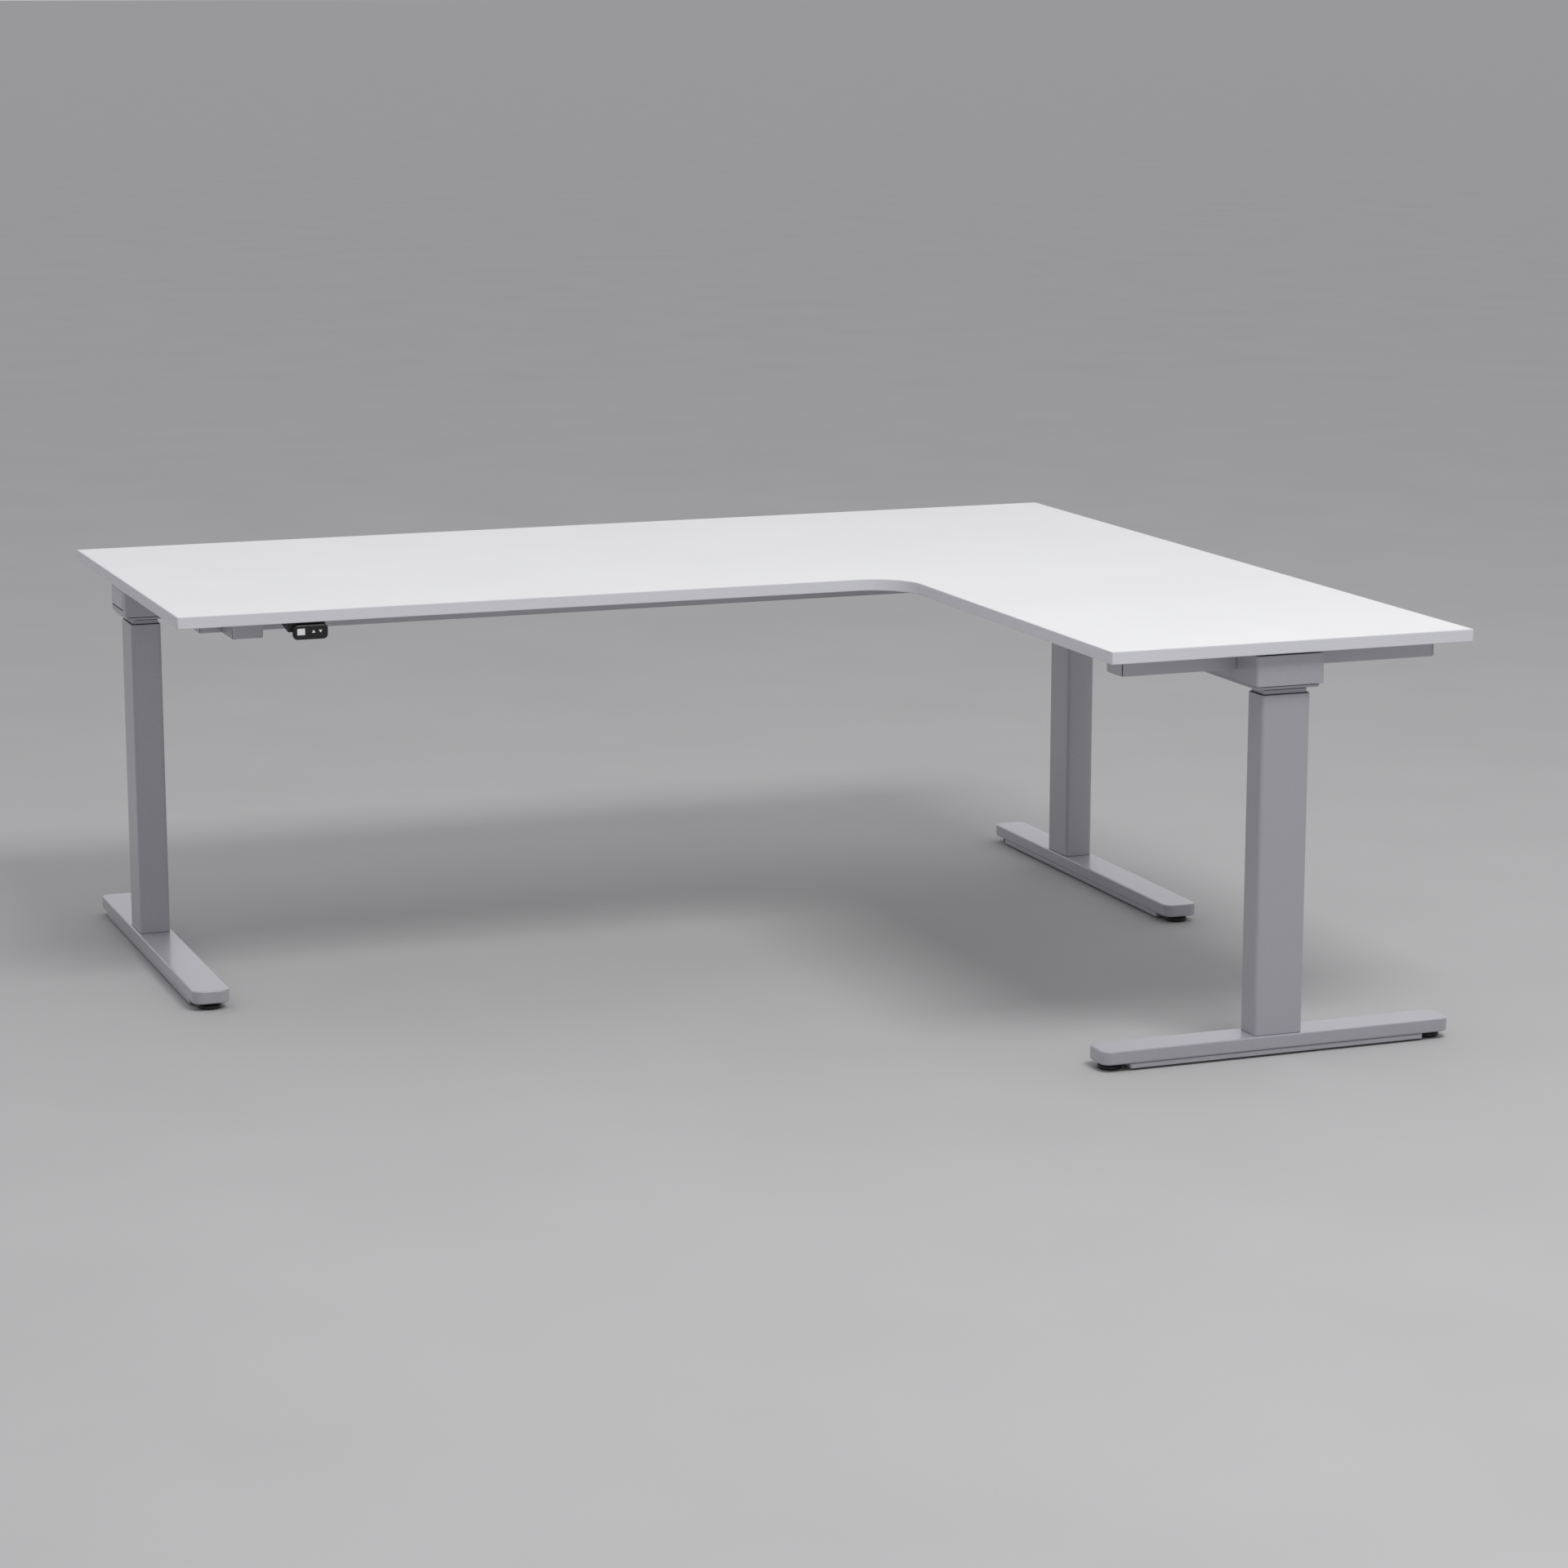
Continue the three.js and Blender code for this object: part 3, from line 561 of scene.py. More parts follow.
def make_glide(leg, node_name):
    """A domed nylon disc, and the steel lock nut and stem above it."""
    x0, x1, y0, y1, z0, _ = local_span(leg, node_name)
    centre = ((x0 + x1) / 2, (y0 + y1) / 2)
    radius = (x1 - x0) / 2
    disc = [(radius - 4 * MM - HOLD, z0), (radius - 4 * MM, z0), (radius - 1.4 * MM, z0 + 0.5 * MM)]
    disc += [(radius - 0.3 * MM, z0 + 1.6 * MM), (radius, z0 + 3 * MM), (radius, z0 + 5 * MM)]
    disc += [(radius - 0.6 * MM, z0 + 6.2 * MM), (radius - 3 * MM, z0 + 7 * MM), (8 * MM, z0 + 7.6 * MM)]
    stem = [(4 * MM, z0 + 6 * MM), (4 * MM, z0 + 15 * MM)]
    nut = [(hexagon(13 * MM, 32, centre), z) for z in (z0 + 7.6 * MM, z0 + 10.6 * MM)]
    foot = moved(turned(disc, centre), leg)
    piece(f"{node_name}_disc", [foot], NYLON, "base", [node_name])
    steel = [moved(turned(stem, centre), leg), moved(stack(nut), leg)]
    piece(f"{node_name}_stem", steel, ZINC, "base")


def make_column(leg):
    """Three nested tubes with a nylon guide sleeve at the head of the outer and the middle one."""
    name = leg["name"]
    stages = [  # node, body, corner radius, wall, material, slot, and rise above the node's box
        ("outer_tube", "base", COLUMN_RADIUS, COLUMN_WALL, SILVER, "silver", 0.0),
        ("outer_sleeve", "base", 4 * MM, 1.5 * MM, NYLON, "nylon", OUTER_SLEEVE_RISE),
        ("middle_tube", f"middle_{name}", 3.5 * MM, 1.8 * MM, SILVER, "silver", 0.0),
        ("middle_sleeve", f"middle_{name}", 2.5 * MM, 1.5 * MM, NYLON, "nylon", MIDDLE_SLEEVE_RISE),
        ("inner_tube", "top", 2.5 * MM, 1.6 * MM, SILVER, "silver", 0.0),
    ]
    for part, body, radius, wall, material, slot, rise in stages:
        x0, x1, y0, y1, z0, z1 = local_span(leg, f"{part}_{name}")
        surface = tube(rectangle(x0, x1, y0, y1), radius, wall, z0, z1 + rise, 0.5 * MM)
        piece(f"{part}_drawn_{name}", [moved(surface, leg)], material, body, [f"{part}_{name}"])


NUT_HEIGHT = 25 * MM
POST_RADIUS = 13.5 * MM
NUT_BORE = 10.4 * MM
GEARBOX_LENGTH = 48 * MM
MOTOR_RADIUS = 17.5 * MM
MOTOR_AXIS = (0.0, 594 * MM)  # across the housing and up
MOTOR_CAP = 16 * MM  # length of the end cap, behind a narrow groove


def make_drive(leg):
    """The lift nut on its post, the two threaded spindles, and the gear motor with its end cap."""
    name = leg["name"]
    _, x1, _, _, z0, z1 = local_span(leg, f"lift_nut_{name}")
    shoulder = z1 - NUT_HEIGHT
    profile = [(POST_RADIUS, z0), (POST_RADIUS, shoulder), (x1, shoulder), (x1, z1), (NUT_BORE, z1)]
    profile += [(NUT_BORE, z0)]
    nut = moved(stack([(circle(radius), z) for radius, z in profile], closed=True), leg)
    piece(f"lift_post_{name}", [nut], ZINC, "base", [f"lift_nut_{name}"])
    _, x1, _, _, z0, z1 = local_span(leg, f"hollow_spindle_{name}")
    outer = moved(thread(x1, 1.2 * MM, 5 * MM, z0, z1), leg)
    body = f"middle_{name}"
    piece(f"hollow_screw_{name}", [outer], ZINC, body, [f"hollow_spindle_{name}"])
    _, x1, _, _, z0, z1 = local_span(leg, f"drive_spindle_{name}")
    inner = moved(thread(x1, 0.9 * MM, 4 * MM, z0, z1), leg)
    piece(f"drive_screw_{name}", [inner], ZINC, "top", [f"drive_spindle_{name}"])
    x0, x1, y0, y1, z0, z1 = local_span(leg, f"gear_motor_{name}")
    gearbox = box_slab(x0, x0 + GEARBOX_LENGTH, y0, y1, z0, z1, 5 * MM, 2 * MM)
    start = x0 + GEARBOX_LENGTH - 8 * MM  # inside the gearbox
    cap = x1 - MOTOR_CAP
    groove = (MOTOR_RADIUS - 1 * MM, cap + 2 * MM)
    can = [(MOTOR_RADIUS, start), (MOTOR_RADIUS, cap), (groove[0], cap), groove]
    can += [(MOTOR_RADIUS, groove[1]), (MOTOR_RADIUS, x1 - 2 * MM), (MOTOR_RADIUS - 2 * MM, x1)]
    can += [(6 * MM, x1)]
    parts = [moved(gearbox, leg), moved(turned(can, MOTOR_AXIS, "x"), leg)]
    piece(f"gear_motor_case_{name}", parts, CASTING, "top", [f"gear_motor_{name}"])


HOUSING_WALL = 2 * MM
PLATE_HEIGHTS = (2.6 * MM, 4.4 * MM)  # of the mounting plate's faces, above the housing
COVER_LIP = 0.6 * MM  # gap between the cover's opening and the inner tube
SHADOW_LINE = 1.2 * MM  # height of the step between cover and housing
LABEL_SPAN = (-35 * MM, 47 * MM)  # of the blank plate, across the left housing's outer end
GROMMET_PLACE = (42 * MM, 600 * MM)  # across the housing and up
GROMMET = [  # radius, and place past the housing's inner end
    (7 * MM, -3 * MM), (7 * MM, 1.2 * MM), (6.2 * MM, 2 * MM),
    (3.2 * MM, 2 * MM), (2.6 * MM, 1.2 * MM), (2.6 * MM, -3 * MM),
]


def make_housing(leg):
    """The motor housing, the plate over it, its lower cover with screws, and the lead's grommet; the left
    one also has a blank plate on its outer end, with a thin dark strip below it as painted shadow."""
    name = leg["name"]
    x0, x1, y0, y1, z0, z1 = local_span(leg, f"motor_housing_{name}")
    form = (z0, z1, 0.5 * MM, 1.2 * MM, HOUSING_WALL, z1 - HOUSING_WALL)
    shell = hollow_slab(rectangle(x0, x1, y0, y1), 6 * MM, *form)
    piece(f"housing_shell_{name}", [moved(shell, leg)], SILVER, "top", [f"motor_housing_{name}"])
    inset = 1.5 * MM
    low, high = z1 + PLATE_HEIGHTS[0], z1 + PLATE_HEIGHTS[1]
    plate = box_slab(x0 + inset, x1 - inset, y0 + inset, y1 - inset, low, high, 5 * MM, 0.4 * MM)
    piece(f"mounting_plate_{name}", [moved(plate, leg)], SILVER, "top")
    cx0, cx1, cy0, cy1, cz0, cz1 = local_span(leg, f"housing_cover_{name}")
    tx0, tx1, ty0, ty1, _, _ = local_span(leg, f"inner_tube_{name}")
    seat = cz1 - SHADOW_LINE  # the cover is set back above this
    levels = rounded_levels(cz0, seat, 1 * MM, 0.3 * MM).tolist() + [[4 * MM, seat], [4 * MM, cz1]]
    rings = [(outline(rectangle(cx0, cx1, cy0, cy1), 8 * MM, inset), z) for inset, z in levels]
    hole = rectangle(tx0 - COVER_LIP, tx1 + COVER_LIP, ty0 - COVER_LIP, ty1 + COVER_LIP)
    opening = outline(hole, 3 * MM)
    rings += [(opening, cz1), (opening, cz0)]
    cover = moved(stack(rings, closed=True), leg)
    piece(f"cover_plate_{name}", [cover], SILVER, "top", [f"housing_cover_{name}"])
    ends = [(x, y) for x in (cx0 + 14 * MM, cx1 - 14 * MM) for y in (cy0 + 9 * MM, cy1 - 9 * MM)]
    screws = [moved(socket_screw(at, cz0, -1, 4 * MM, 1.5 * MM), leg) for at in ends]
    piece(f"cover_screws_{name}", screws, ZINC, "top")
    side = 1 if name != "corner" else -1  # the corner leg is the left one mirrored
    centre = (side * GROMMET_PLACE[0], GROMMET_PLACE[1])
    rings = [(circle(radius, 32, centre), x1 + along) for radius, along in GROMMET]
    grommet = stack(rings, "x", closed=True)
    piece(f"lead_grommet_{name}", [moved(grommet, leg)], RUBBER, "top")
    if name == "left":
        low, high = z0 + 10 * MM, z0 + 40 * MM
        sheet = (x0 - 0.25 * MM, x0 + 0.5 * MM, *LABEL_SPAN)
        rating = box_slab(*sheet, low, high, 1.5 * MM, 0.1 * MM, "x")
        piece("blank_rating_plate", [moved(rating, leg)], FOIL, "top")
        # painted shadow: a thin dark rubber strip under the plate stands in for the shadow line below it
        painted_shadow_strip = box_slab(*sheet, low - 2 * MM, low, 0.8 * MM, 0.1 * MM, "x")
        piece("plate_painted_shadow", [moved(painted_shadow_strip, leg)], RUBBER, "top")


# ------------------------------------------------------------------------------- under-frame

CHANNEL_WALL = 2 * MM
CHANNEL_LIP = 8 * MM
END_PLATE = 2 * MM
END_GAP = 1 * MM  # between an arm's channel and its end plate, which leaves a dark line
CROSSING_GAP = 0.3 * MM  # between an arm's channel and what it crosses
PAD_HALF = 14 * MM


def channel(u0, u1, v0, v1, low, high, axis):
    """A rolled channel open between two lips on the v0 side, from low to high along the axis."""
    wall, lip = CHANNEL_WALL, CHANNEL_LIP
    corners = [(u0 + lip, v0), (u0 + lip, v0 + wall), (u0 + wall, v0 + wall), (u0 + wall, v1 - wall)]
    corners += [(u1 - wall, v1 - wall), (u1 - wall, v0 + wall), (u1 - lip, v0 + wall), (u1 - lip, v0)]
    corners += [(u1, v0), (u1, v1), (u0, v1), (u0, v0)]
    radii = np.repeat([0.6, 0.8, 0.6, 2.5], [2, 4, 2, 4]) * MM
    return slab(corners, radii, low, high, 0.2 * MM, 0.2 * MM, axis, 4)


def channel_along_x(x0, x1, y0, y1, z0, z1):
    return channel(y0, y1, z0, z1, x0, x1, "x")


def channel_along_y(x0, x1, y0, y1, z0, z1):
    """The same channel along Y: the outline's first direction is Z there, so its corners are turned."""
    vertices, faces = channel(x0, x1, z0, z1, y0, y1, "x")
    return vertices[:, (1, 0, 2)], [face[::-1] for face in faces]


def make_arm(name):
    """A support arm: lengths of channel joined by their web over whatever the arm crosses, end plates,
    rubber pads against the top, and the wood screws that hold it up."""
    x0, x1, y0, y1, z0, z1 = span(f"support_arm_{name}")
    hx0, hx1, hy0, hy1, _, _ = span(f"motor_housing_{name}")
    _, _, ry0, ry1, _, _ = span("front_rail")
    gap = CROSSING_GAP
    web = z1 - CHANNEL_WALL
    cap = END_PLATE
    start = END_PLATE + END_GAP
    inset = 0.8 * MM
    side = CHANNEL_WALL
    if name == "return":
        crossed = [(hx0 - gap, hx1 + gap)]
        cuts = [x0 + start, *crossed[0], x1 - start]
        runs = [channel_along_x(a, b, y0, y1, z0, z1) for a, b in zip(cuts[::2], cuts[1::2])]
        straps = [box_slab(a, b, y0 + side, y1 - side, web, z1, 0.3 * MM, 0.2 * MM) for a, b in crossed]
        caps = [
            box_slab(a, a + cap, y0 + inset, y1 - inset, z0 + inset, z1 - inset, 2 * MM, 0.4 * MM, "x")
            for a in (x0, x1 - cap)
        ]
        places = [(x, (y0 + y1) / 2) for x in (x0 + 30 * MM, hx0 - 40 * MM, hx1 + 40 * MM, x1 - 30 * MM)]
    else:
        crossed = [(ry0 - gap, ry1 + gap), (hy0 - gap, hy1 + gap)]
        cuts = [y0 + start, *crossed[0], *crossed[1], y1 - start]
        runs = [channel_along_y(x0, x1, a, b, z0, z1) for a, b in zip(cuts[::2], cuts[1::2])]
        straps = [box_slab(x0 + side, x1 - side, a, b, web, z1, 0.3 * MM, 0.2 * MM) for a, b in crossed]
        caps = [
            box_slab(x0 + inset, x1 - inset, a, a + cap, z0 + inset, z1 - inset, 2 * MM, 0.4 * MM, "y")
            for a in (y0, y1 - cap)
        ]
        rows = (y0 + 30 * MM, ry1 + 50 * MM, hy0 - 40 * MM, hy1 + 60 * MM, y1 - 30 * MM)
        places = [((x0 + x1) / 2, y) for y in rows]
    piece(f"arm_channel_{name}", runs + straps, SILVER, "top", [f"support_arm_{name}"])
    piece(f"arm_end_plates_{name}", caps, SILVER, "top")
    half = PAD_HALF
    height = (z1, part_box("worktop")[0].z)
    pads = [box_slab(x - half, x + half, y - half, y + half, *height, 3 * MM, 0.3 * MM) for x, y in places]
    piece(f"arm_pads_{name}", pads, RUBBER, "top")
    screws = [socket_screw(at, web, -1, 5.5 * MM, 3 * MM) for at in places]
    piece(f"arm_screws_{name}", screws, ZINC, "top")


RAIL_WALL = 2 * MM
RAIL_PLUG = 1.5 * MM
RAIL_CORNER_RADIUS = 3 * MM


def make_front_rail():
    """The rectangular tube through the long arms, with plugged ends and two flat bolts at each arm."""
    x0, x1, y0, y1, z0, z1 = span("front_rail")
    plug, corner = RAIL_PLUG, RAIL_CORNER_RADIUS
    rail = tube(rectangle(y0, y1, z0, z1), corner, RAIL_WALL, x0 + plug, x1 - plug, 0.3 * MM, "x")
    piece("rail_tube", [rail], SILVER, "top", ["front_rail"])
    inset = 0.3 * MM
    plugs = [
        box_slab(a, a + plug, y0 + inset, y1 - inset, z0 + inset, z1 - inset, corner, 0.5 * MM, "x")
        for a in (x0, x1 - plug)
    ]
    piece("rail_plugs", plugs, SILVER, "top")
    bolts = []
    for name in ("left", "corner"):
        ax0, ax1 = span(f"support_arm_{name}")[:2]
        places = [(x, (y0 + y1) / 2) for x in (ax0 + 14 * MM, ax1 - 14 * MM)]
        bolts += [socket_screw(at, z0, -1, 6.5 * MM, 1.2 * MM) for at in places]
    piece("rail_bolts", bolts, ZINC, "top")


FLANGE = 3 * MM
FLANGE_REACH = 17 * MM  # past its beam, on either side
FLANGE_BOLT = (9 * MM, 4.5 * MM)  # across flats and height
BOLT_FROM_BEAM = 8 * MM
BEAM_CORNER_RADIUS = 2.5 * MM


def make_beams():
    """The two rectangular beams behind the front rail and along the return wing, with bolted flanges."""
    flange, wide, from_side, corner = FLANGE, FLANGE_REACH, BOLT_FROM_BEAM, BEAM_CORNER_RADIUS
    x0, x1, y0, y1, z0, z1 = span("long_beam")
    beam = tube(rectangle(y0, y1, z0, z1), corner, RAIL_WALL, x0 + flange, x1 - flange, 0.3 * MM, "x")
    piece("long_beam_tube", [beam], SILVER, "top", ["long_beam"])
    plates = [
        box_slab(a, a + flange, y0 - wide, y1 + wide, z0, z1, 3 * MM, 0.4 * MM, "x")
        for a in (x0, x1 - flange)
    ]
    mid = (z0 + z1) / 2
    bolts = [
        bolt_head((y, mid), seat, way, *FLANGE_BOLT, "x")
        for seat, way in ((x0 + flange, 1), (x1 - flange, -1))
        for y in (y0 - from_side, y1 + from_side)
    ]
    x0, x1, y0, y1, z0, z1 = span("return_beam")
    beam = tube(rectangle(z0, z1, x0, x1), corner, RAIL_WALL, y0 + flange, y1 - flange, 0.3 * MM, "y")
    piece("return_beam_tube", [beam], SILVER, "top", ["return_beam"])
    plates += [
        box_slab(x0 - wide, x1 + wide, a, a + flange, z0, z1, 3 * MM, 0.4 * MM, "y")
        for a in (y0, y1 - flange)
    ]
    bolts += [
        bolt_head((mid, x), seat, way, *FLANGE_BOLT, "y")
        for seat, way in ((y0 + flange, 1), (y1 - flange, -1))
        for x in (x0 - from_side, x1 + from_side)
    ]
    piece("beam_flanges", plates, SILVER, "top")
    piece("beam_bolts", bolts, ZINC, "top")


# ------------------------------------------------------------------------------- control box


def make_control_box():
    """A black box with a recessed mains inlet in its back, cooling slots below and two screw lugs."""
    x0, x1, y0, y1, z0, z1 = span("control_box")
    levels = rounded_levels(y0, y1, 2.5 * MM, 2.5 * MM)
    shell = [(outline(rectangle(z0, z1, x0, x1), 4 * MM, inset), y) for inset, y in levels]
    inlet = rectangle(z0 + 8 * MM, z0 + 26 * MM, x0 + 30 * MM, x0 + 56 * MM)
    floor = y1 - 13 * MM  # of the inlet's recess
    recess = [(outline(inlet, 2 * MM), y) for y in (y1, floor)]
    body = stack(shell + recess, "y")
    piece("control_box_case", [body], BLACK_ABS, "top", ["control_box"])
    pin = (z0 + 14 * MM, z0 + 20 * MM, 0.5 * MM, 0.2 * MM, "y")
    pins = [
        box_slab(x0 + x, x0 + x + 2 * MM, floor, y1 - 4 * MM, *pin) for x in (35 * MM, 42 * MM, 49 * MM)
    ]
    piece("inlet_pins", pins, ZINC, "top")
    rib = (y0 + 18 * MM, y1 - 18 * MM, z0 - 0.8 * MM, z0 + 1 * MM, 0.8 * MM, 0.3 * MM)
    ribs = [box_slab(x, x + 2 * MM, *rib) for x in np.arange(x0 + 90 * MM, x1 - 40 * MM, 5 * MM)]
    piece("control_box_ribs", ribs, BLACK_ABS, "top")
    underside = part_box("worktop")[0].z
    sheet = underside - 3 * MM
    columns = (x0 + 20 * MM, x1 - 40 * MM)
    rows = ((y0 - 14 * MM, y0 + 5 * MM), (y1 - 5 * MM, y1 + 14 * MM))
    lugs = [
        box_slab(x, x + 20 * MM, a, b, sheet, underside, 4 * MM, 0.5 * MM)
        for x in columns
        for a, b in rows
    ]
    piece("control_box_lugs", lugs, BLACK_ABS, "top")
    heads = [
        socket_screw((x + 10 * MM, y), sheet, -1, 4 * MM, 2.4 * MM)
        for x in columns
        for y in (y0 - 7 * MM, y1 + 7 * MM)
    ]
    piece("control_box_screws", heads, ZINC, "top")


# ------------------------------------------------------------------------------- handset

POCKET_DEPTH = 22 * MM
PIVOT = (20 * MM, 610 * MM)  # the paddle's pin along X, as in the CAD
PIVOT_RADIUS = 1.5 * MM
PADDLE_ARM_HALF = 20 * MM
PADDLE_THICKNESS = 8 * MM
PADDLE_ARM_HEIGHTS = (606 * MM, 614 * MM)
PIN_CLEARANCE = 0.1 * MM
HANDSET_RISE = 10.5 * MM  # the underside climbs this much from front to back
CHEEK_GAP = 1 * MM  # on each side of the paddle's arm


def make_handset_base():
    """The wedge under the top: a block behind, two cheeks beside the paddle's arm, a roof over it."""
    x0, x1, y0, y1, z0, z1 = span("handset_base")
    px0, px1 = span("handset_paddle")[:2]
    middle = (px0 + px1) / 2
    left = middle - PADDLE_ARM_HALF - CHEEK_GAP
    right = middle + PADDLE_ARM_HALF + CHEEK_GAP
    rise = HANDSET_RISE / (y1 - y0)
    pocket = y0 + POCKET_DEPTH
    overlap = pocket + 2 * MM

    def profile(a, b):
        """The wedge between y = a and y = b; its underside climbs from z0 at the front to the back."""
        return [(a, z0 + rise * (a - y0)), (b, z0 + rise * (b - y0)), (b, z1), (a, z1)]

    small, soft = 0.5 * MM, 2.5 * MM
    back = slab(profile(pocket, y1), [small, 3 * MM, small, small], x0, x1, soft, soft, "x")
    cheeks = [
        slab(profile(y0, overlap), [4 * MM, small, small, small], a, b, low, high, "x")
        for a, b, low, high in ((x0, left, soft, small), (right, x1, small, soft))
    ]
    roof = box_slab(left - MM, right + MM, y0, overlap, z1 - 3 * MM, z1, 0.5 * MM, 0.4 * MM)
    piece("handset_body", [back] + cheeks + [roof], BLACK_ABS, "top", ["handset_base"])
    row = y1 - 18 * MM
    seat = z0 + rise * (row - y0) + 0.4 * MM
    screws = [socket_screw((x, row), seat, -1, 3.5 * MM, 1.8 * MM) for x in (x0 + 16 * MM, x1 - 16 * MM)]
    piece("handset_screws", screws, ZINC, "top")
    pin = turned([(PIVOT_RADIUS, left - MM), (PIVOT_RADIUS, right + MM)], PIVOT, "x", 16)
    piece("handset_pin", [pin], ZINC, "top")


def make_paddle():
    """The rocking paddle: a rounded plate with soft front edges, its short arm with a bore for the pin,
    two arrows and a blank white label."""
    x0, x1, y0, y1, z0, z1 = span("handset_paddle")
    levels = rounded_levels(y0, y0 + PADDLE_THICKNESS, 3.2 * MM, 1.0 * MM)
    rings = [(outline(rectangle(z0, z1, x0, x1), 7.5 * MM, inset, 8), y) for inset, y in levels]
    plate = stack(rings, "y")
    middle = (x0 + x1) / 2
    ends = (middle - PADDLE_ARM_HALF, middle + PADDLE_ARM_HALF)
    side = outline(rectangle(y0 + PADDLE_THICKNESS - MM, y1, *PADDLE_ARM_HEIGHTS), 1.5 * MM)
    y, z = PIVOT
    bore = PIVOT_RADIUS + PIN_CLEARANCE
    hole = outline(rectangle(y - bore, y + bore, z - bore, z + bore), 0.999 * bore)  # all but a circle
    arm = stack([(side, ends[0]), (side, ends[1]), (hole, ends[1]), (hole, ends[0])], "x", closed=True)
    piece("paddle_plate", [plate, arm], PADDLE_ABS, "paddle", ["handset_paddle"])
    front = y0 - 0.12 * MM
    level = (z0 + z1) / 2 + 1.0 * MM
    sheet = (front, front + 0.4 * MM)
    low, high = level - 5.2 * MM, level + 5.2 * MM
    label = box_slab(x0 + 6 * MM, x0 + 18.5 * MM, *sheet, low, high, 0.5 * MM, 0.05 * MM, "y")
    arrows = []
    for x, way in ((x0 + 32 * MM, 1), (x0 + 43 * MM, -1)):
        base = level - way * 2.2 * MM
        corners = [(level + way * 2.6 * MM, x), (base, x - way * 3 * MM), (base, x + way * 3 * MM)][::-1]
        arrows.append(slab(corners, 0.3 * MM, *sheet, 0.05 * MM, 0.05 * MM, "y", 3))
    piece("paddle_print", [label] + arrows, WHITE_INK, "paddle")


# ------------------------------------------------------------------------------- leads

LEAD_RADIUS = 2.25 * MM
CLIPPED = 617  # millimetres: a lead's centre line where it is clipped under the top
PLUG_REACH = 12 * MM  # of a lead's plug, out of the control box
PLUG_OVERLAP = 1 * MM
PLUG_HALF = 6  # millimetres, half its width
PLUG_HEIGHTS = (595 * MM, 605 * MM)

# Routes in millimetres, the same as in the CAD.
ROUTES = {
    "motor_lead_left": [
        (-672, 562, 600), (-640, 562, 602), (-622, 575, 612), (-610, 610, CLIPPED), (-598, 650, CLIPPED),
        (-584, 670, 607), (-561.2, 675, 600),
    ],
    "motor_lead_corner": [
        (672, 562, 600), (640, 562, 602), (616, 566, 611), (594, 580, CLIPPED), (560, 630, CLIPPED),
        (490, 660, CLIPPED), (200, 664, CLIPPED), (-100, 664, CLIPPED), (-250, 664, CLIPPED),
        (-278, 664, 609), (-298.8, 664, 600),
    ],
    "motor_lead_return": [
        (558, -572, 600), (558, -540, 602), (558, -510, 612), (558, -480, CLIPPED), (558, -200, CLIPPED),
        (558, 150, CLIPPED), (557, 440, CLIPPED), (546, 545, CLIPPED), (500, 610, CLIPPED),
        (400, 630, CLIPPED), (100, 632, CLIPPED), (-240, 632, CLIPPED), (-276, 630, 609),
        (-298.8, 628, 600),
    ],
    "handset_lead": [
        (-691, 75.6, 618), (-691, 125, CLIPPED), (-690, 170, CLIPPED), (-662, 330, CLIPPED),
        (-625, 470, CLIPPED), (-596, 565, CLIPPED), (-588, 598, 616), (-580, 618, 607),
        (-561.2, 622, 600),
    ],
}


def saddle(x, y, along):
    """A nylon saddle clip over a lead that runs along X or Y: a small arch with two feet on the top."""
    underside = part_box("worktop")[0].z
    inner, outer, foot = LEAD_RADIUS + 0.2 * MM, LEAD_RADIUS + 1.4 * MM, 6 * MM
    centre = CLIPPED * MM
    sheet = underside - 1.2 * MM
    corners = [(-foot, sheet), (-outer, sheet), (-outer, centre - outer), (outer, centre - outer)]
    corners += [(outer, sheet), (foot, sheet), (foot, underside), (inner, underside)]
    corners += [(inner, centre - inner), (-inner, centre - inner), (-inner, underside), (-foot, underside)]
    radii = np.repeat([0.2, 2.4, 0.2, 1.6, 0.2], [2, 2, 4, 2, 2]) * MM
    vertices, faces = slab(corners, radii, -3 * MM, 3 * MM, 0.2 * MM, 0.2 * MM, "x", 4)
    if along == "x":
        return vertices + (x, y, 0), faces
    return vertices[:, (1, 0, 2)] + (x, y, 0), [face[::-1] for face in faces]


def make_leads():
    """The four leads, their clips under the top, and their plugs in the two ends of the control box."""
    for name, route in ROUTES.items():
        lead = sweep(np.array(route) * MM, LEAD_RADIUS)
        piece(f"{name}_sheath", [lead], PVC, "top", [name])
    clips = [saddle(558 * MM, y * MM, "y") for y in (-420, -100, 220)]
    clips += [saddle(x * MM, 664 * MM, "x") for x in (350, 60, -190)]
    clips += [saddle(x * MM, 632 * MM, "x") for x in (330, 60, -190)]
    piece("lead_clips", clips, NYLON, "top")
    x0, x1 = span("control_box")[:2]
    plugs = []
    for side, y in ((-1, 675), (-1, 622), (1, 664), (1, 628)):
        length = (x0 - PLUG_REACH, x0 + PLUG_OVERLAP) if side < 0 else (x1 - PLUG_OVERLAP, x1 + PLUG_REACH)
        width = ((y - PLUG_HALF) * MM, (y + PLUG_HALF) * MM)
        plugs.append(box_slab(*length, *width, *PLUG_HEIGHTS, 1 * MM, 0.8 * MM, "x"))
    piece("lead_plugs", plugs, BLACK_ABS, "top")


# ------------------------------------------------------------------------------- studio


def area_light(name, place, aim, size, power):
    """A rectangular light at place that looks at aim; size is its width and height, power is in watts."""
    data = bpy.data.lights.new(name, "AREA")
    data.shape = "RECTANGLE"
    data.size, data.size_y = size
    data.energy = power
    light = bpy.data.objects.new(name, data)
    light.location = place
    direction = np.array(aim, float) - np.array(place, float)
    pitch = math.atan2(math.hypot(direction[0], direction[1]), -direction[2])
    light.rotation_euler = (pitch, 0, math.atan2(direction[1], direction[0]) - math.pi / 2)
    bpy.context.scene.collection.objects.link(light)


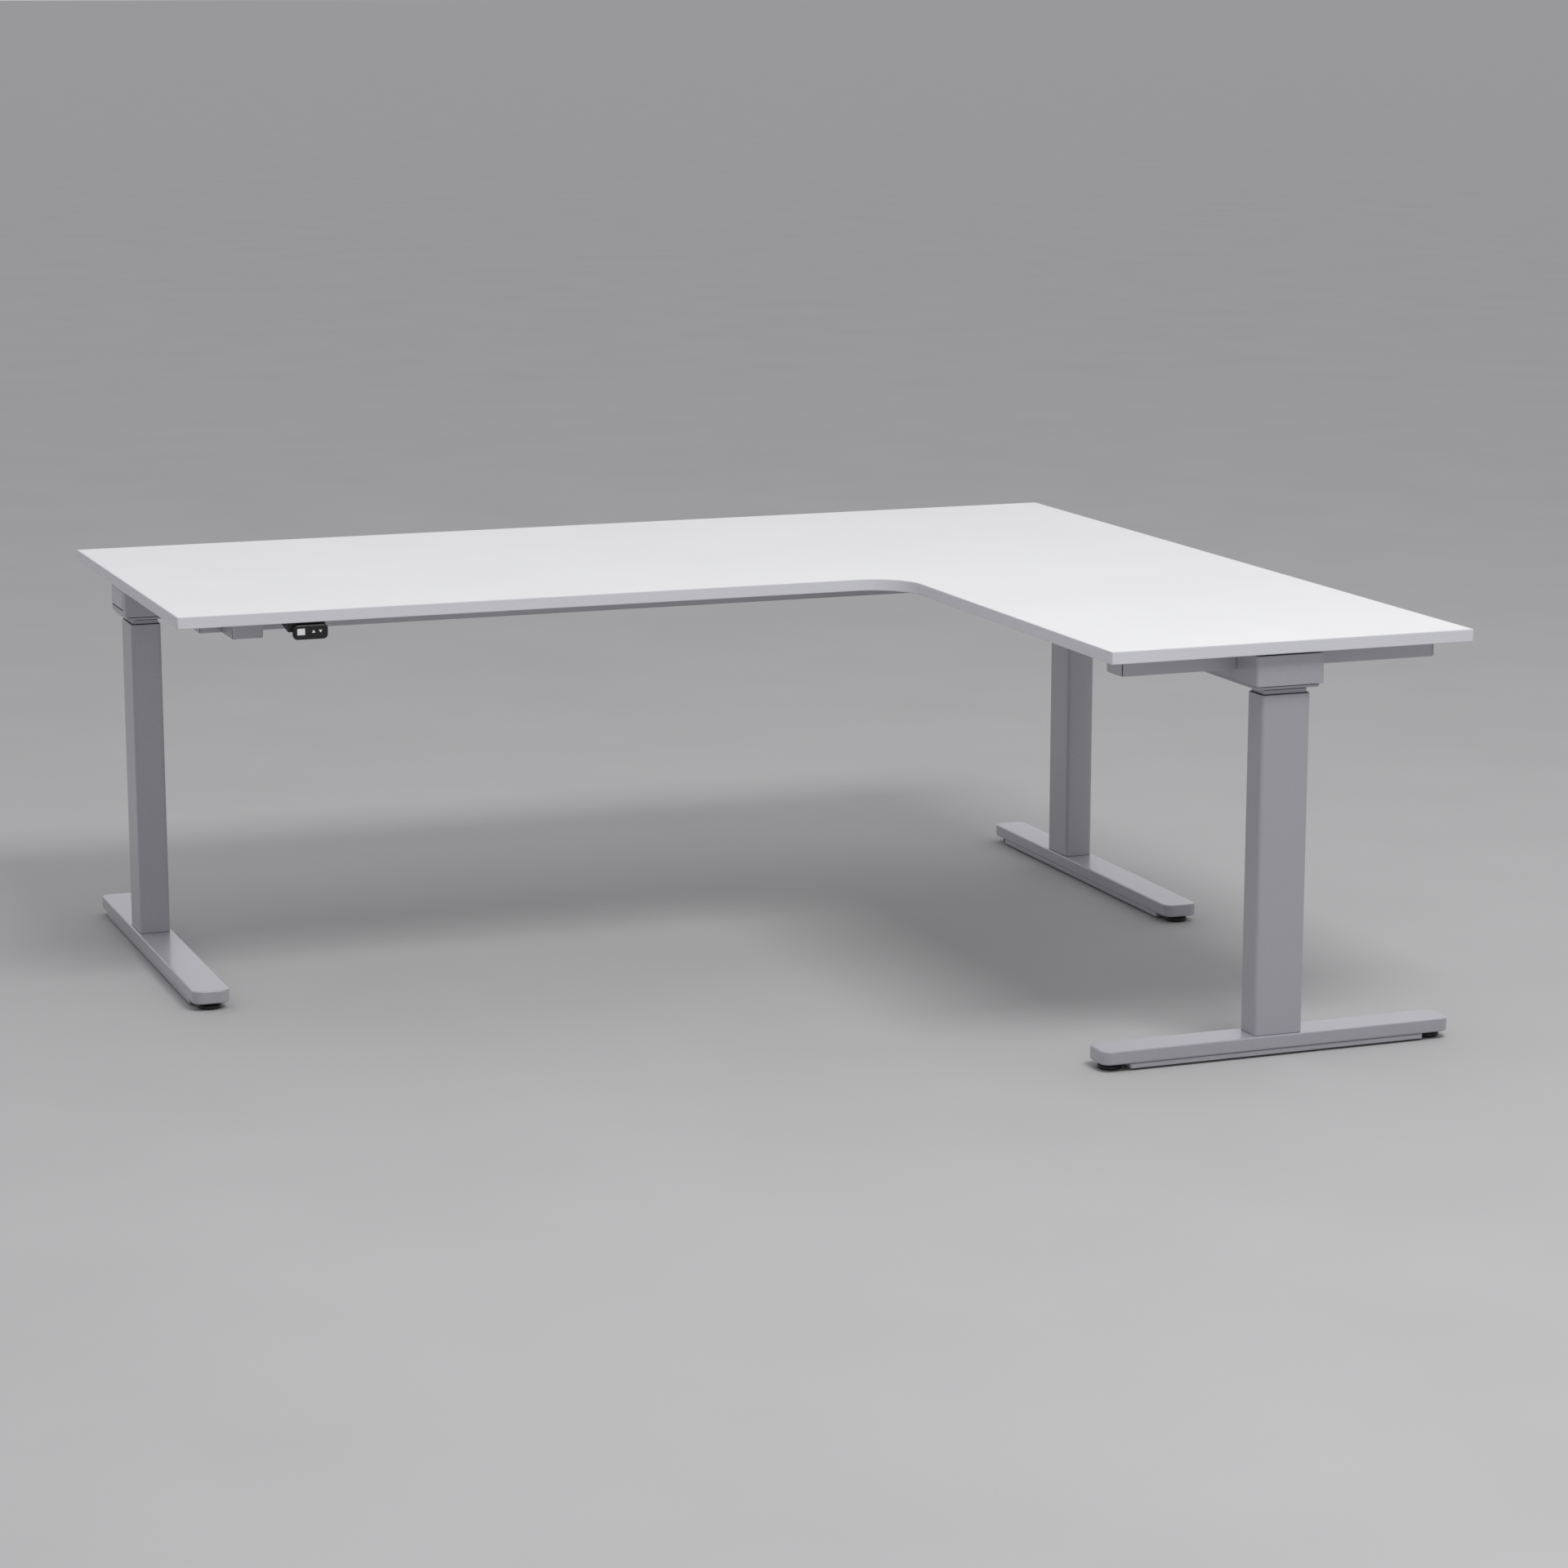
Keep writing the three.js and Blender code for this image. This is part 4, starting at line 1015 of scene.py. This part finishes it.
HORIZON = 0.5  # brightness of the dome at and below eye level
ZENITH = 0.6  # and straight up
LIT_SIDE = (0.12, 0.6, 0.0)  # how much brighter it is towards +X, +Y and +Z
FLOOR_HALF = 400.0


def studio_dome():
    """The world: brightness = ramp of the height * (1 + direction . lit_side), a little brighter overhead
    than at the horizon, and brighter behind the desk and slightly on its right."""
    world = bpy.data.worlds.new("studio_dome")
    world.use_nodes = True
    toward = node(world, "ShaderNodeTexCoord").outputs["Generated"]
    height = node(world, "ShaderNodeSeparateXYZ", {"Vector": toward}).outputs["Z"]
    ramp = node(world, "ShaderNodeMapRange", {"Value": height, "To Min": HORIZON, "To Max": ZENITH})
    lit_side = {"Vector": toward, "Vector_001": LIT_SIDE}
    facing = node(world, "ShaderNodeVectorMath", lit_side, operation="DOT_PRODUCT").outputs["Value"]
    strength = node(world, "ShaderNodeMath", {0: facing, 1: 1.0}, operation="ADD").outputs["Value"]
    strength = node(world, "ShaderNodeMath", {0: strength, 1: ramp.outputs["Result"]}, operation="MULTIPLY")
    background = world.node_tree.nodes["Background"]
    background.inputs["Color"].default_value = linear("#fcfcff")
    world.node_tree.links.new(strength.outputs["Value"], background.inputs["Strength"])
    bpy.context.scene.world = world


def make_studio():
    """A pale floor under a soft dome, one broad soft light above the user's side, and a low weak one
    farther out that fills the fronts."""
    mesh = bpy.data.meshes.new("studio_floor")
    corners = [(x, y, 0) for x, y in rectangle(-FLOOR_HALF, FLOOR_HALF, -FLOOR_HALF, FLOOR_HALF)]
    mesh.from_pydata(corners, [], [(0, 1, 2, 3)])
    mesh.materials.append(studio_floor())
    floor = bpy.data.objects.new("studio_floor", mesh)
    bpy.context.scene.collection.objects.link(floor)
    studio_dome()
    area_light("key", (0.6, -3.0, 4.8), (0.0, 0.1, 0.4), (2.2, 1.4), 124.0)
    area_light("front_fill", (0.6, -6.0, 1.6), (0.0, 0.2, 0.3), (4.0, 1.6), 14.0)
    bpy.context.scene.view_settings.view_transform = "Standard"


# ------------------------------------------------------------------------------- the desk

make_camera()
make_studio()
make_top()
for leg_name in LEGS:
    leg = leg_frame(leg_name)
    make_foot(leg)
    for glide in [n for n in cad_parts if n.startswith("glide_") and n.endswith(leg_name)]:
        make_glide(leg, glide)
    make_column(leg)
    make_drive(leg)
    make_housing(leg)
    make_arm(leg_name)
make_front_rail()
make_beams()
make_control_box()
make_handset_base()
make_paddle()
make_leads()
